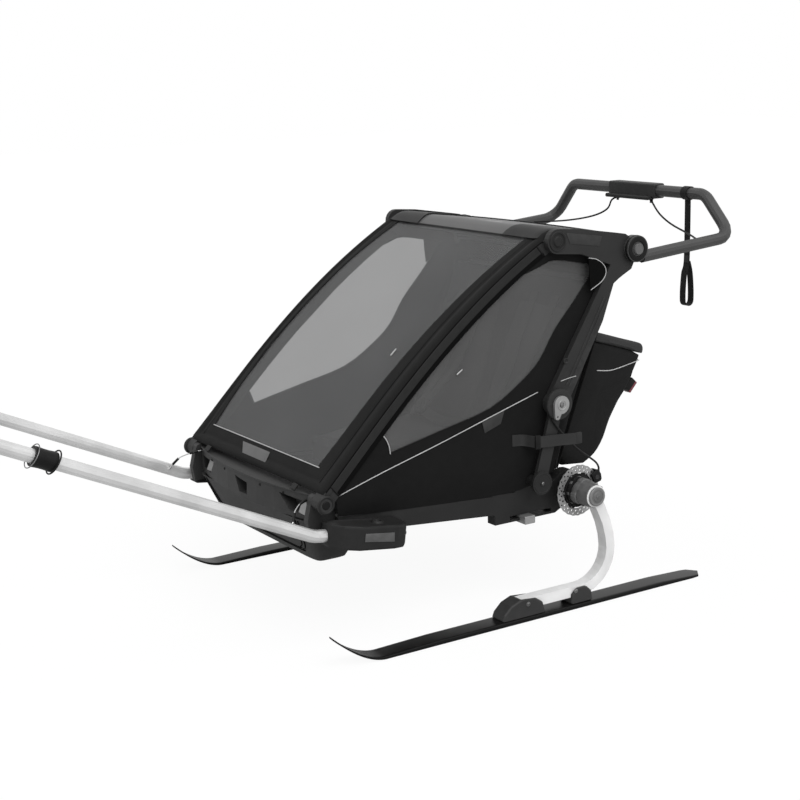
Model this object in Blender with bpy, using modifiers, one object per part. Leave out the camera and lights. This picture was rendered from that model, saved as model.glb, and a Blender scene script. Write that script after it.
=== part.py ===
"""Two-seat child trailer on a cross-country ski kit.

Metres, +Z up. The nose points to -Y and the push bar to +Y, so +X is the trailer's left side.
The object is modelled with its axle close to Y = 0, and the empty "trailer" then moves all of it, so that
the origin lies under the middle of the whole length. Left pieces are built first, and right ones
are their mirror images.
"""
import math

import bmesh
import bpy
from mathutils import Matrix, Vector

# Running clearance between pieces that touch, and between a shaft and its hole
GAP = 0.0003

# Frame: side view points (y, z)
AXLE_HEIGHT = 0.260
AXLE_Y = 0.006
NOSE_PIVOT = Vector((-0.671, 0.341))
PILLAR_LENGTH = 0.808
PILLAR_ANGLE = math.radians(39.5)
PILLAR_HALF_DEPTH = 0.0165
PILLAR_BOW = 0.033
PILLAR_BOW_POWER = 1.25
FOLD_JOINT = Vector((-0.058, 0.480))
STRUT_PIVOT = Vector((-0.110, 0.300))
HUB_FROM_TOP_PIVOT = Vector((0.226, -0.035))
POST_FOOT_FROM_FOLD_JOINT = Vector((0.022, -0.001))
POST_TOP_FROM_HUB = Vector((-0.045, -0.052))
POST_HALF_WIDTH = 0.016
POST_REAR_EDGE_FROM_HUB = (
    Vector((-0.094, -0.162)), Vector((-0.0765, -0.116)), Vector((-0.0615, -0.077)),
    Vector((-0.046, -0.067)), Vector((-0.030, -0.0585)), Vector((-0.0075, -0.0475)))
PLATE_TOP_EDGE_FROM_HUB = (Vector((-0.026, 0.0365)), Vector((-0.043, 0.0395)), Vector((-0.162, 0.0585)))

# Layers of the left side, measured outwards from the seat's edge
SEAT_HALF_WIDTH = 0.2795
SEAT_TO_RAIL = 0.0015
RAIL_WIDTH = 0.030
EAR_WIDTH = 0.0175
PILLAR_WIDTH = 0.032
PANEL_THICKNESS = 0.0025
PLATE_WIDTH = 0.0145
STRUT_WIDTH = 0.010
HOUSING_WIDTH = 0.008
RAIL_INNER = SEAT_HALF_WIDTH + SEAT_TO_RAIL
EAR_INNER = RAIL_INNER + 0.001
PANEL_INNER = RAIL_INNER + 0.043
PILLAR_INNER = EAR_INNER + EAR_WIDTH + GAP
PLATE_INNER = PILLAR_INNER + PILLAR_WIDTH + 0.0015
STRUT_INNER = PLATE_INNER + PLATE_WIDTH + 2 * GAP
RAIL_OUTER = RAIL_INNER + RAIL_WIDTH
PLATE_OUTER = PLATE_INNER + PLATE_WIDTH
STRUT_OUTER = STRUT_INNER + STRUT_WIDTH
HOUSING_OUTER = STRUT_OUTER + HOUSING_WIDTH

# Base rails and floor
RAIL_FRONT_Y = -0.628
RAIL_STEP_Y = -0.215
RAIL_REAR_Y = -0.045
RAIL_SLOPE = -0.0759
RAIL_STEP_MIDDLE_Z = 0.2500
RAIL_FRONT_HALF_HEIGHT = 0.019
RAIL_REAR_HALF_HEIGHT = 0.0225
BOOT_BOTTOM_Z = 0.2170
LEAF_TOP_Z = 0.2085
LEAF_THICKNESS = 0.006
LEAF_BLOCK_FRONT_Y = -0.208
LEAF_SLOT_FRONT_Y = -0.165
LEAF_SLOT_REAR_Y = -0.044
FLOOR_THICKNESS = 0.006
FLOOR_FRONT_Y = -0.515
FLOOR_REAR_Y = -0.047

# Pins, eyes and caps
PIN_RADIUS = 0.006
STRUT_PIN_RADIUS = 0.007
STRUT_CAP_RADIUS = 0.0275
STRUT_CAP_THICKNESS = 0.007
NOSE_CAP_RADIUS = 0.020
NOSE_CAP_THICKNESS = 0.006
PLATE_EYE_RADIUS = 0.0285
FOLD_EYE_RADIUS = 0.026
FOLD_HOUSING_RADIUS = 0.036
STRUT_HALF_WIDTH = 0.0165
HUB_RADIUS = 0.0315
HUB_CHEEK_WIDTH = 0.005
HUB_CHEEK_RADIUS = 0.022
HUB_BOSS_RADIUS = 0.012
HUB_BOSS_LENGTH = 0.008
HUB_WIDTH = 0.0235

# Axle, brake and ski kit
AXLE_RADIUS = 0.015
AXLE_HOUSING_RADIUS = 0.031
AXLE_HOUSING_INNER = RAIL_INNER - 0.019
AXLE_HOUSING_OUTER = RAIL_OUTER + 0.0275
AXLE_RING_WALL = 0.0115
STUB_RADIUS = 0.010
STUB_START = AXLE_HOUSING_INNER + 0.030
DISC_RADIUS = 0.062
DISC_SEAT_RADIUS = 0.030
DISC_THICKNESS = 0.002
DISC_INNER_FACE = AXLE_HOUSING_OUTER + 0.0105
CARRIER_INNER_FACE = AXLE_HOUSING_OUTER + 0.0023
CARRIER_RADIUS = 0.036
CARRIER_THICKNESS = 0.0087
CLAW_RADIUS = 0.028
CLAW_LENGTH = 0.018
CLAW_NECK_RADIUS = 0.020
SKI_STRUT_INNER = DISC_INNER_FACE + 0.0390
SKI_STRUT_WIDTH = 0.0300
SKI_STRUT_HALF_DEPTH = 0.0125
SKI_STRUT_RING_RADIUS = 0.0265
SKI_STRUT_NECK_RADIUS = 0.0155
SKI_CAP_RADIUS = 0.0215
SKI_CAP_THICKNESS = 0.0052
CALIPER_ANGLE = math.radians(40)
SKI_THICKNESS = 0.012
SKI_WIDTH = 0.054
SKI_TIP_Y = -0.712
SKI_TAIL_Y = 0.342
SKI_TIP_RISE = 0.070
SKI_CONTACT_Y = -0.585
STRUT_FOOT_Z = 0.0400
STRUT_FOOT_FRONT_Y = -0.215
STRUT_BEND_Y = -0.040
STRUT_BULGE_Y = 0.0500
BRACKET_WIDTH = 0.046

# Tow bars
TOW_BAR_X = RAIL_OUTER + 0.019
TOW_BAR_RADIUS = 0.0145
TOW_BEND = Vector((-0.701, 0.2757))
TOW_SOCKET_SLOPE = math.radians(7.5)
TOW_SOCKET_REACH = 0.180
TOW_RISE = math.radians(24.6)
TOW_JOINT_DISTANCE = 0.630
TOW_BAR_REACH = 1.560
SLEEVE_RADIUS = 0.019
SLEEVE_OVERLAP = 0.014
SLEEVE_LENGTH = 0.046
TOW_EYE_RADIUS = 0.019
TOW_EYE_HOLE_RADIUS = 0.007
TOW_EYE_WIDTH = 0.012

# Nose
BUMPER_BOTTOM_Z = 0.290
BUMPER_TOP_Z = 0.350
BUMPER_FRONT_Y = -0.706
BUMPER_BOW = 0.038
BUMPER_REAR_Y = -0.640
WELL_TOP_Z = BUMPER_BOTTOM_Z - GAP
WELL_BOTTOM_Z = 0.180
WELL_WALL = 0.008
WELL_TOP_FRONT_Y = -0.690
WELL_BOTTOM_FRONT_Y = -0.642
WELL_BOTTOM_REAR_Y = -0.566
WELL_SIDE_SLOPE = 0.0335

# Push bar
ARM_START_FROM_HUB = Vector((0.0225, -0.0217))
GRIP_LOW_FROM_HUB = Vector((0.3115, 0.0025))
GRIP_HIGH_FROM_HUB = Vector((0.3075, 0.1000))
GRIP_HIGH_FROM_ARM = 0.089
PUSH_TUBE_RADIUS = 0.0148
PUSH_TUBE_BEND = 0.042
BRAKE_HOUSING_HALF_LENGTH = 0.090
BRAKE_HOUSING_REAR = 0.0185
CABLE_EXIT_X = 0.066
CABLE_ARM_REACH = 0.2245
BUTTON_RADIUS = 0.013
BUTTON_HEIGHT = 0.011
BUTTON_SINK = 0.0055
STRAP_X = 0.197
STRAP_WIDTH = 0.020
STRAP_DROP = 0.286
STRAP_LOOP_RADIUS = 0.014

# Soft parts
COVER_THICKNESS = 0.0025
COVER_LIFT = PILLAR_HALF_DEPTH + GAP
COVER_HALF_WIDTH = PILLAR_INNER + 0.0302
COVER_START = 0.012
COVER_END_FROM_TOP_PIVOT = 0.013
ROOF_THICKNESS = 0.004
ROOF_ABOVE_PIVOT = 0.0232
ROOF_FRONT_FROM_TOP_PIVOT = -0.0075
ROOF_REAR_FROM_HUB = -0.0285
ROOF_FALL = -0.140
BACK_LOW = Vector((-0.035, 0.315))
BACK_HIGH_FROM_HUB = Vector((-0.0365, -0.055))
BACK_THICKNESS = 0.003
SEAT_FRONT_Y = -0.370
SEAT_TOP_Z = 0.345
SEAT_PAD_THICKNESS = 0.030
SEAT_APRON_THICKNESS = 0.022
SEAT_BACK_TOP_Z = 0.742
BAG_BOTTOM = Vector((0.016, 0.300))
BAG_REAR_LINE = (
    Vector((0.085, 0.300)), Vector((0.121, 0.361)), Vector((0.168, 0.428)), Vector((0.214, 0.520)))
BAG_TOP_REAR = Vector((0.236, 0.566))
BAG_HALF_WIDTH = 0.290
LID_THICKNESS = 0.008
LID_FRONT = Vector((0.100, 0.6225))
LID_REAR = Vector((0.265, 0.570))
LID_SKIRT = 0.020
BAG_WALL = 0.004
HOSE_RADIUS = 0.0024
SAFETY_CABLE_RADIUS = 0.0015

# Worked out from the values above
HUB_CHEEK_OUTER = PLATE_INNER + HUB_CHEEK_WIDTH
HUB_INNER = HUB_CHEEK_OUTER + GAP
HUB_OUTER = HUB_INNER + HUB_WIDTH
PUSH_ARM_X = HUB_OUTER - PUSH_TUBE_RADIUS
COVER_END = PILLAR_LENGTH - COVER_END_FROM_TOP_PIVOT
PILLAR_DIRECTION = Vector((math.cos(PILLAR_ANGLE), math.sin(PILLAR_ANGLE)))
PILLAR_NORMAL = Vector((-PILLAR_DIRECTION.y, PILLAR_DIRECTION.x))
TOP_PIVOT = NOSE_PIVOT + PILLAR_DIRECTION * PILLAR_LENGTH
HUB = TOP_PIVOT + HUB_FROM_TOP_PIVOT
POST_FOOT = FOLD_JOINT + POST_FOOT_FROM_FOLD_JOINT
POST_TOP = HUB + POST_TOP_FROM_HUB
POST_DIRECTION = (POST_TOP - POST_FOOT).normalized()
BACK_HIGH = HUB + BACK_HIGH_FROM_HUB
ROOF_FRONT_Y = TOP_PIVOT.x + ROOF_FRONT_FROM_TOP_PIVOT
ROOF_REAR_Y = HUB.x + ROOF_REAR_FROM_HUB
ARM_START = HUB + ARM_START_FROM_HUB
GRIP_LOW = HUB + GRIP_LOW_FROM_HUB
GRIP_HIGH = HUB + GRIP_HIGH_FROM_HUB
GRIP_HIGH_X = PUSH_ARM_X - GRIP_HIGH_FROM_ARM
AXLE = Vector((AXLE_Y, AXLE_HEIGHT))
TOW_FORWARD = Vector((-math.cos(TOW_RISE), math.sin(TOW_RISE)))
SOCKET_REARWARD = Vector((math.cos(TOW_SOCKET_SLOPE), -math.sin(TOW_SOCKET_SLOPE)))
TOW_TIP = TOW_BEND + TOW_FORWARD * (TOW_BAR_REACH + TOW_EYE_RADIUS)
FRONT_END_Y = TOW_BEND.x + TOW_FORWARD.x * TOW_BAR_REACH - TOW_EYE_RADIUS
REAR_END_Y = max(GRIP_LOW.x + PUSH_TUBE_RADIUS, GRIP_HIGH.x + BRAKE_HOUSING_REAR)
MIDDLE_Y = round((FRONT_END_Y + REAR_END_Y) / 2, 4)

SMOOTH_ANGLE = math.radians(35)

COLOURS = {
    "black_plastic": ((0.018, 0.018, 0.019), 0.45, 0.0),
    "grey_plastic": ((0.065, 0.066, 0.070), 0.50, 0.0),
    "black_fabric": ((0.012, 0.012, 0.013), 0.90, 0.0),
    "window_film": ((0.090, 0.092, 0.094), 0.40, 0.0),
    "black_metal": ((0.020, 0.020, 0.021), 0.40, 0.3),
    "silver_metal": ((0.580, 0.590, 0.585), 0.35, 1.0),
    "steel": ((0.450, 0.450, 0.455), 0.30, 1.0),
    "cast_grey": ((0.220, 0.225, 0.230), 0.45, 0.6),
    "ski_black": ((0.010, 0.010, 0.011), 0.35, 0.0),
    "rubber": ((0.012, 0.012, 0.012), 0.80, 0.0),
}


def clear_scene():
    """Remove whatever the scene holds."""
    for old in list(bpy.data.objects):
        bpy.data.objects.remove(old, do_unlink=True)


def make_collection(name):
    """A collection linked to the scene."""
    made = bpy.data.collections.new(name)
    bpy.context.scene.collection.children.link(made)
    return made


def make_material(name):
    """A Principled material with a colour, roughness and metallic value from COLOURS."""
    colour, roughness, metallic = COLOURS[name]
    made = bpy.data.materials.new(name)
    made.use_nodes = True
    shader = made.node_tree.nodes["Principled BSDF"]
    shader.inputs["Base Color"].default_value = (*colour, 1.0)
    shader.inputs["Roughness"].default_value = roughness
    shader.inputs["Metallic"].default_value = metallic
    return made


clear_scene()
PARTS = make_collection("child_bike_trailer")
CUTTERS = make_collection("cutters")
MATERIALS = {name: make_material(name) for name in COLOURS}
TRAILER = bpy.data.objects.new("trailer", None)
TRAILER.location = (0.0, -MIDDLE_Y, 0.0)
PARTS.objects.link(TRAILER)


def link_only(piece, collection):
    """Put an object in one collection alone."""
    for old in list(piece.users_collection):
        old.objects.unlink(piece)
    collection.objects.link(piece)


def frozen(piece):
    """A new mesh object from an object's evaluated shape, in place of it."""
    bpy.context.view_layer.update()
    graph = bpy.context.evaluated_depsgraph_get()
    mesh = bpy.data.meshes.new_from_object(piece.evaluated_get(graph))
    mesh.transform(piece.matrix_world)
    shape = bmesh.new()
    shape.from_mesh(mesh)
    bmesh.ops.remove_doubles(shape, verts=shape.verts, dist=0.00002)
    bmesh.ops.recalc_face_normals(shape, faces=shape.faces)
    shape.to_mesh(mesh)
    shape.free()
    made = bpy.data.objects.new(piece.name, mesh)
    bpy.context.scene.collection.objects.link(made)
    bpy.data.objects.remove(piece, do_unlink=True)
    return made


def bevelled(piece, width, segments=1):
    """Round an object's edges and freeze the result."""
    if width <= 0:
        return piece
    bevel = piece.modifiers.new("rounded edges", "BEVEL")
    bevel.width = width
    bevel.segments = segments
    bevel.limit_method = "ANGLE"
    bevel.angle_limit = math.radians(40)
    return frozen(piece)


def combine(piece, others, operation):
    """A Boolean of one object with others, which it uses up."""
    for number, other in enumerate(others):
        step = piece.modifiers.new(f"{operation.lower()} {number}", "BOOLEAN")
        step.operation = operation
        step.object = other
    made = frozen(piece)
    for other in others:
        bpy.data.objects.remove(other, do_unlink=True)
    return made


def union(piece, *others):
    """Join overlapping objects into one body."""
    return combine(piece, others, "UNION")


def cut(piece, *cutters):
    """Take the cutters' shapes out of an object."""
    for cutter in cutters:
        cutter.hide_render = True
        cutter.display_type = "WIRE"
        link_only(cutter, CUTTERS)
    return combine(piece, cutters, "DIFFERENCE")


def block(low, high, name="block"):
    """A box between two corners."""
    bpy.ops.mesh.primitive_cube_add(size=1.0)
    made = bpy.context.active_object
    made.name = name
    size = [b - a for a, b in zip(low, high)]
    middle = [(a + b) / 2 for a, b in zip(low, high)]
    made.data.transform(Matrix.Translation(middle) @ Matrix.Diagonal((*size, 1.0)))
    return made


def rod(start, end, radius, sides=20, name="rod"):
    """A cylinder from one point to another."""
    start, end = Vector(start), Vector(end)
    along = end - start
    bpy.ops.mesh.primitive_cylinder_add(vertices=sides, radius=radius, depth=along.length)
    made = bpy.context.active_object
    made.name = name
    turn = along.to_track_quat("Z", "Y").to_matrix().to_4x4()
    made.data.transform(Matrix.Translation((start + end) / 2) @ turn)
    return made


def side_rod(point, inner, outer, radius, sides=20, name="rod"):
    """A cylinder along X at a side-view point (y, z)."""
    return rod((inner, *point), (outer, *point), radius, sides, name)


def arc(centre, radius, start, end, steps):
    """Points of an arc, angles in degrees, from start to end."""
    points = []
    for step in range(steps + 1):
        angle = math.radians(start + (end - start) * step / steps)
        points.append((centre[0] + radius * math.cos(angle), centre[1] + radius * math.sin(angle)))
    return points


def slab(outline, low, high, holes=(), plane="YZ", name="slab"):
    """A flat outline with holes, extruded from one height to another across its plane."""
    curve = bpy.data.curves.new(name, "CURVE")
    curve.dimensions = "2D"
    curve.fill_mode = "BOTH"
    curve.extrude = (high - low) / 2
    for ring in (outline, *holes):
        spline = curve.splines.new("POLY")
        spline.points.add(len(ring) - 1)
        for point, (u, v) in zip(spline.points, ring):
            point.co = (u, v, 0.0, 1.0)
        spline.use_cyclic_u = True
    made = bpy.data.objects.new(name, curve)
    bpy.context.scene.collection.objects.link(made)
    made = frozen(made)
    axes = {
        "YZ": Matrix(((0, 0, 1, 0), (1, 0, 0, 0), (0, 1, 0, 0), (0, 0, 0, 1))),
        "XY": Matrix.Identity(4),
    }[plane]
    made.data.transform(axes @ Matrix.Translation((0.0, 0.0, (low + high) / 2)))
    return made


def turned(profile, centre, sides=24, name="turned"):
    """A body of revolution about an axis along X, from (x, radius) points."""
    mesh = bpy.data.meshes.new(name)
    corners = [(x, radius, 0.0) for x, radius in profile]
    edges = [(i, i + 1) for i in range(len(profile) - 1)]
    mesh.from_pydata(corners, edges, [])
    made = bpy.data.objects.new(name, mesh)
    bpy.context.scene.collection.objects.link(made)
    screw = made.modifiers.new("turn", "SCREW")
    screw.axis = "X"
    screw.angle = math.tau
    screw.steps = sides
    screw.render_steps = sides
    screw.use_merge_vertices = True
    screw.merge_threshold = 0.00005
    made = frozen(made)
    made.data.transform(Matrix.Translation((0.0, *centre)))
    return made


def tube(points, radius, name="tube", resolution=2):
    """A round tube along points, as a curve with filled caps."""
    curve = bpy.data.curves.new(name, "CURVE")
    curve.dimensions = "3D"
    curve.bevel_depth = radius
    curve.bevel_resolution = resolution
    curve.use_fill_caps = True
    spline = curve.splines.new("POLY")
    spline.points.add(len(points) - 1)
    for spot, point in zip(spline.points, points):
        spot.co = (*point, 1.0)
    made = bpy.data.objects.new(name, curve)
    bpy.context.scene.collection.objects.link(made)
    return made


def loft(rings, name="loft"):
    """A closed body through rings of equally many corners."""
    shape = bmesh.new()
    rows = [[shape.verts.new(corner) for corner in ring] for ring in rings]
    count = len(rows[0])
    for row, following in zip(rows, rows[1:]):
        for i in range(count):
            j = (i + 1) % count
            shape.faces.new((row[i], row[j], following[j], following[i]))
    shape.faces.new(rows[0][::-1])
    shape.faces.new(rows[-1])
    bmesh.ops.recalc_face_normals(shape, faces=shape.faces)
    mesh = bpy.data.meshes.new(name)
    shape.to_mesh(mesh)
    shape.free()
    made = bpy.data.objects.new(name, mesh)
    bpy.context.scene.collection.objects.link(made)
    return made


def rounded_route(corners, bend, steps=4):
    """A route through corners with an arc of the given radius in each."""
    corners = [Vector(corner) for corner in corners]
    route = [corners[0]]
    for before, here, after in zip(corners, corners[1:], corners[2:]):
        back = (before - here).normalized()
        onward = (after - here).normalized()
        half = back.angle(onward) / 2
        reach = bend / math.tan(half)
        middle = here + (back + onward).normalized() * (bend / math.sin(half))
        first, last = here + back * reach - middle, here + onward * reach - middle
        for step in range(steps + 1):
            route.append(middle + first.slerp(last, step / steps).normalized() * bend)
    route.append(corners[-1])
    return route


def smooth_route(points, steps=4):
    """Points of a smooth curve through a cord's own route."""
    points = [Vector(point) for point in points]
    padded = [points[0] * 2 - points[1], *points, points[-1] * 2 - points[-2]]
    route = []
    for a, b, c, d in zip(padded, padded[1:], padded[2:], padded[3:]):
        for step in range(steps):
            t = step / steps
            route.append(0.5 * ((2 * b) + (c - a) * t + (2 * a - 5 * b + 4 * c - d) * t * t
                                + (3 * b - a - 3 * c + d) * t ** 3))
    route.append(points[-1])
    return route


def ribbon(route, half_width):
    """The outline of a band of one width along side-view points."""
    left, right = [], []
    for i, point in enumerate(route):
        before = route[max(i - 1, 0)]
        after = route[min(i + 1, len(route) - 1)]
        along = (Vector(after) - Vector(before)).normalized()
        across = Vector((-along.y, along.x)) * half_width
        left.append(tuple(Vector(point) + across))
        right.append(tuple(Vector(point) - across))
    return left + right[::-1]


def finish(piece, name, material, pivot=(0.0, 0.0, 0.0)):
    """Name a piece, give it its material, and put its origin on its pivot."""
    pivot = Vector(pivot)
    piece.name = name
    piece.data.name = name
    piece.data.materials.clear()
    piece.data.materials.append(MATERIALS[material])
    piece.data.transform(Matrix.Translation(-pivot))
    piece.location = pivot
    piece.parent = TRAILER
    link_only(piece, PARTS)
    if piece.type == "MESH":
        piece.data.shade_smooth()
        piece.data.set_sharp_from_angle(angle=SMOOTH_ANGLE)
    return piece


def pair(piece, name, material, pivot=(0.0, 0.0, 0.0)):
    """Finish a left piece, and add its mirror image on the right side."""
    left = finish(piece, f"{name}_left", material, pivot)
    mesh = left.data.copy()
    mesh.transform(Matrix.Scale(-1.0, 4, (1.0, 0.0, 0.0)))
    mesh.flip_normals()
    right = bpy.data.objects.new(f"{name}_right", mesh)
    mesh.name = right.name
    right.location = (-pivot[0], pivot[1], pivot[2])
    right.parent = TRAILER
    PARTS.objects.link(right)
    mesh.set_sharp_from_angle(angle=SMOOTH_ANGLE)
    return left, right


def rail_middle(y):
    """Height of the base rail's middle line."""
    return RAIL_STEP_MIDDLE_Z + (y - RAIL_STEP_Y) * RAIL_SLOPE


def back_front_y(z):
    """Front face of the back panel at a height."""
    share = (z - BACK_LOW.y) / (BACK_HIGH.y - BACK_LOW.y)
    return BACK_LOW.x + (BACK_HIGH.x - BACK_LOW.x) * share


def bow(along):
    """Height of the bowed pillar's middle line above the straight line between its pivots."""
    share = (along / PILLAR_LENGTH) ** PILLAR_BOW_POWER
    return PILLAR_BOW * 4 * share * (1 - share)


def on_pillar(along, above):
    """Side-view point at a distance along the pillar from the nose pivot, and above its middle line."""
    return NOSE_PIVOT + PILLAR_DIRECTION * along + PILLAR_NORMAL * (bow(along) + above)


def bow_stations():
    """Distances along the pillar between which the bow is built straight, from the cover's foot to its top."""
    steps = 12
    return [COVER_START + (COVER_END - COVER_START) * step / steps for step in range(steps + 1)]


def on_socket(along, above):
    """Side-view point along the tow bar's socket, rearwards from the bar's bend."""
    up = Vector((-SOCKET_REARWARD.y, SOCKET_REARWARD.x))
    return TOW_BEND + SOCKET_REARWARD * along + up * above


def on_tow_bar(along):
    """Side-view point along the tow bar, forwards from its bend."""
    return TOW_BEND + TOW_FORWARD * along


def on_post(along, across):
    """Side-view point along the rear post from its foot, and across it towards the nose."""
    return POST_FOOT + POST_DIRECTION * along + Vector((-POST_DIRECTION.y, POST_DIRECTION.x)) * across


def build_base_rails():
    """Side rails with the rear boot, the strut's pin, the axle ring and the leaf under it."""
    ear_radius = 0.0265
    ring_radius = AXLE_HOUSING_RADIUS + GAP + AXLE_RING_WALL
    front_z = rail_middle(RAIL_FRONT_Y)
    step_z = rail_middle(RAIL_STEP_Y)
    leaf_bottom = LEAF_TOP_Z - LEAF_THICKNESS
    outline = [
        (RAIL_FRONT_Y, front_z + RAIL_FRONT_HALF_HEIGHT),
        (RAIL_STEP_Y, step_z + RAIL_REAR_HALF_HEIGHT),
        (RAIL_STEP_Y, step_z + RAIL_REAR_HALF_HEIGHT + 0.003),
        (STRUT_PIVOT.x - 0.040, step_z + RAIL_REAR_HALF_HEIGHT),
    ]
    outline += arc(STRUT_PIVOT, ear_radius, 190, 0, 10)
    outline += [(RAIL_REAR_Y, AXLE.y + 0.020)]
    outline += arc(AXLE, ring_radius, 145, -100, 14)
    outline += [
        (LEAF_SLOT_REAR_Y + 0.012, leaf_bottom),
        (LEAF_BLOCK_FRONT_Y, leaf_bottom),
        (LEAF_BLOCK_FRONT_Y, step_z - RAIL_REAR_HALF_HEIGHT),
        (RAIL_FRONT_Y, front_z - RAIL_FRONT_HALF_HEIGHT),
    ]
    slot = [
        (LEAF_SLOT_FRONT_Y, LEAF_TOP_Z),
        (LEAF_SLOT_REAR_Y, LEAF_TOP_Z),
        (LEAF_SLOT_REAR_Y, BOOT_BOTTOM_Z),
        (LEAF_SLOT_FRONT_Y, BOOT_BOTTOM_Z),
    ]
    bore = arc(AXLE, AXLE_HOUSING_RADIUS + GAP, 0, 345, 23)
    rail = slab(outline, RAIL_INNER, RAIL_OUTER, holes=(slot, bore))
    shoulder = side_rod(STRUT_PIVOT, RAIL_OUTER - 0.004, STRUT_INNER - GAP, 0.012, 16)
    pin = side_rod(STRUT_PIVOT, RAIL_OUTER - 0.002, STRUT_OUTER + 0.004, STRUT_PIN_RADIUS, 16)
    cap_inner = STRUT_OUTER + GAP
    cap = side_rod(STRUT_PIVOT, cap_inner, cap_inner + STRUT_CAP_THICKNESS, STRUT_CAP_RADIUS, 24)
    pair(union(rail, shoulder, pin, cap), "base_rail", "black_plastic")


def build_floor():
    """Stiff floor between the rails."""
    ends = [(y, rail_middle(y)) for y in (FLOOR_FRONT_Y, FLOOR_REAR_Y)]
    outline = [(y, z - FLOOR_THICKNESS / 2) for y, z in ends]
    outline += [(y, z + FLOOR_THICKNESS / 2) for y, z in ends[::-1]]
    half = RAIL_INNER - GAP
    finish(slab(outline, -half, half), "floor_pan", "black_plastic")


def build_bumper():
    """Bowed front panel with pockets, and the ears and pins that carry the pillars."""
    half = EAR_INNER + 0.008
    steps = 8
    front = []
    for step in range(steps + 1):
        x = -half + 2 * half * step / steps
        front.append((x, BUMPER_FRONT_Y + BUMPER_BOW * (x / half) ** 2))
    outline = front + [(half, BUMPER_REAR_Y), (-half, BUMPER_REAR_Y)]
    beam = slab(outline, BUMPER_BOTTOM_Z, BUMPER_TOP_Z, plane="XY")
    pockets = []
    pocket_top, pocket_bottom = BUMPER_TOP_Z - 0.013, BUMPER_BOTTOM_Z + 0.012
    outer_pocket = half - 0.075
    for middle, reach, lean in ((-outer_pocket, 0.050, -1), (0.0, 0.030, 1), (outer_pocket, 0.050, 1)):
        ring = [
            (middle - reach * lean, pocket_top),
            (middle + reach * lean, pocket_top - 0.006),
            (middle + reach * lean * 0.9, pocket_bottom),
            (middle - reach * lean * 0.3, pocket_bottom),
        ]
        front_y = BUMPER_FRONT_Y + BUMPER_BOW * (middle / half) ** 2
        rings = [[(x, y, z) for x, z in ring] for y in (front_y - 0.030, front_y + 0.024)]
        pockets.append(loft(rings))
    beam = cut(beam, *pockets)
    leg = arc(NOSE_PIVOT, PILLAR_HALF_DEPTH, 140, -30, 9)
    leg += [(RAIL_FRONT_Y - GAP, NOSE_PIVOT.y - 0.030), (RAIL_FRONT_Y - GAP, 0.268)]
    leg += [(NOSE_PIVOT.x - 0.020, 0.266), (NOSE_PIVOT.x - 0.026, 0.300)]
    ears, pins, caps = [], [], []
    cap_inner = PILLAR_INNER + PILLAR_WIDTH + GAP
    for side in (1, -1):
        spans = [sorted((side * a, side * b)) for a, b in (
            (EAR_INNER, EAR_INNER + EAR_WIDTH),
            (EAR_INNER + 0.004, cap_inner + 0.003),
            (cap_inner, cap_inner + NOSE_CAP_THICKNESS))]
        ears.append(slab(leg, *spans[0]))
        pins.append(side_rod(NOSE_PIVOT, *spans[1], PIN_RADIUS, 12))
        caps.append(side_rod(NOSE_PIVOT, *spans[2], NOSE_CAP_RADIUS, 24))
    finish(union(beam, *ears, *pins, *caps), "front_bumper", "grey_plastic")


def build_footwell():
    """Tub in front of the floor, open to the cabin."""
    def ring(half, front, rear, z):
        return [(-half, front, z), (half, front, z), (half, rear, z), (-half, rear, z)]

    rear_top = FLOOR_FRONT_Y - 0.0025
    top_half = RAIL_INNER - 0.0015
    low_half = top_half - WELL_SIDE_SLOPE
    low_front, low_rear = WELL_BOTTOM_FRONT_Y, WELL_BOTTOM_REAR_Y
    tub = loft([
        ring(low_half, low_front, low_rear, WELL_BOTTOM_Z),
        ring(top_half, WELL_TOP_FRONT_Y, rear_top, WELL_TOP_Z)])
    tub = bevelled(tub, 0.008, 2)
    inside = loft([
        ring(low_half - WELL_WALL, low_front + 0.010, low_rear - WELL_WALL, WELL_BOTTOM_Z + WELL_WALL),
        ring(top_half - WELL_WALL - 0.010, low_front + 0.008, rear_top - WELL_WALL, WELL_TOP_Z + 0.010)])
    finish(cut(tub, inside), "footwell", "black_plastic")


def build_axle():
    """Axle tube with a housing at each end, bored for the ski kit's stub shafts."""
    half = [
        (STUB_START - 0.002, 0.0),
        (STUB_START - 0.002, STUB_RADIUS + GAP),
        (AXLE_HOUSING_OUTER, STUB_RADIUS + GAP),
        (AXLE_HOUSING_OUTER, AXLE_HOUSING_RADIUS),
        (AXLE_HOUSING_INNER, AXLE_HOUSING_RADIUS),
        (AXLE_HOUSING_INNER, AXLE_RADIUS),
    ]
    profile = [(-x, radius) for x, radius in half] + half[::-1]
    finish(turned(profile, AXLE), "axle", "black_metal")


def build_calipers():
    """Brake calipers, with a lug on the rail's axle ring and a slot for the disc."""
    ring_outer = AXLE_HOUSING_RADIUS + GAP + AXLE_RING_WALL
    inner = DISC_INNER_FACE - 0.0093
    body = block((inner, DISC_RADIUS - 0.022, -0.020), (inner + 0.0213, DISC_RADIUS + 0.016, 0.020))
    lug = block((RAIL_OUTER + GAP, AXLE_HOUSING_RADIUS + 0.0015, -0.012),
                (inner + 0.0023, ring_outer + 0.016, 0.012))
    caliper = bevelled(union(body, lug), 0.003)
    disc_room = 0.0012
    slot = block((DISC_INNER_FACE - disc_room, 0.020, -0.030),
                 (DISC_INNER_FACE + DISC_THICKNESS + disc_room, DISC_RADIUS + 0.0015, 0.030))
    flange_room = side_rod((0.0, 0.0), CARRIER_INNER_FACE - disc_room, DISC_INNER_FACE + 0.016,
                           CARRIER_RADIUS + disc_room, 24)
    caliper = cut(caliper, slot, flange_room)
    caliper.data.transform(Matrix.Translation((0.0, *AXLE)) @ Matrix.Rotation(CALIPER_ANGLE, 4, "X"))
    pair(caliper, "brake_caliper", "black_metal")


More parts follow.
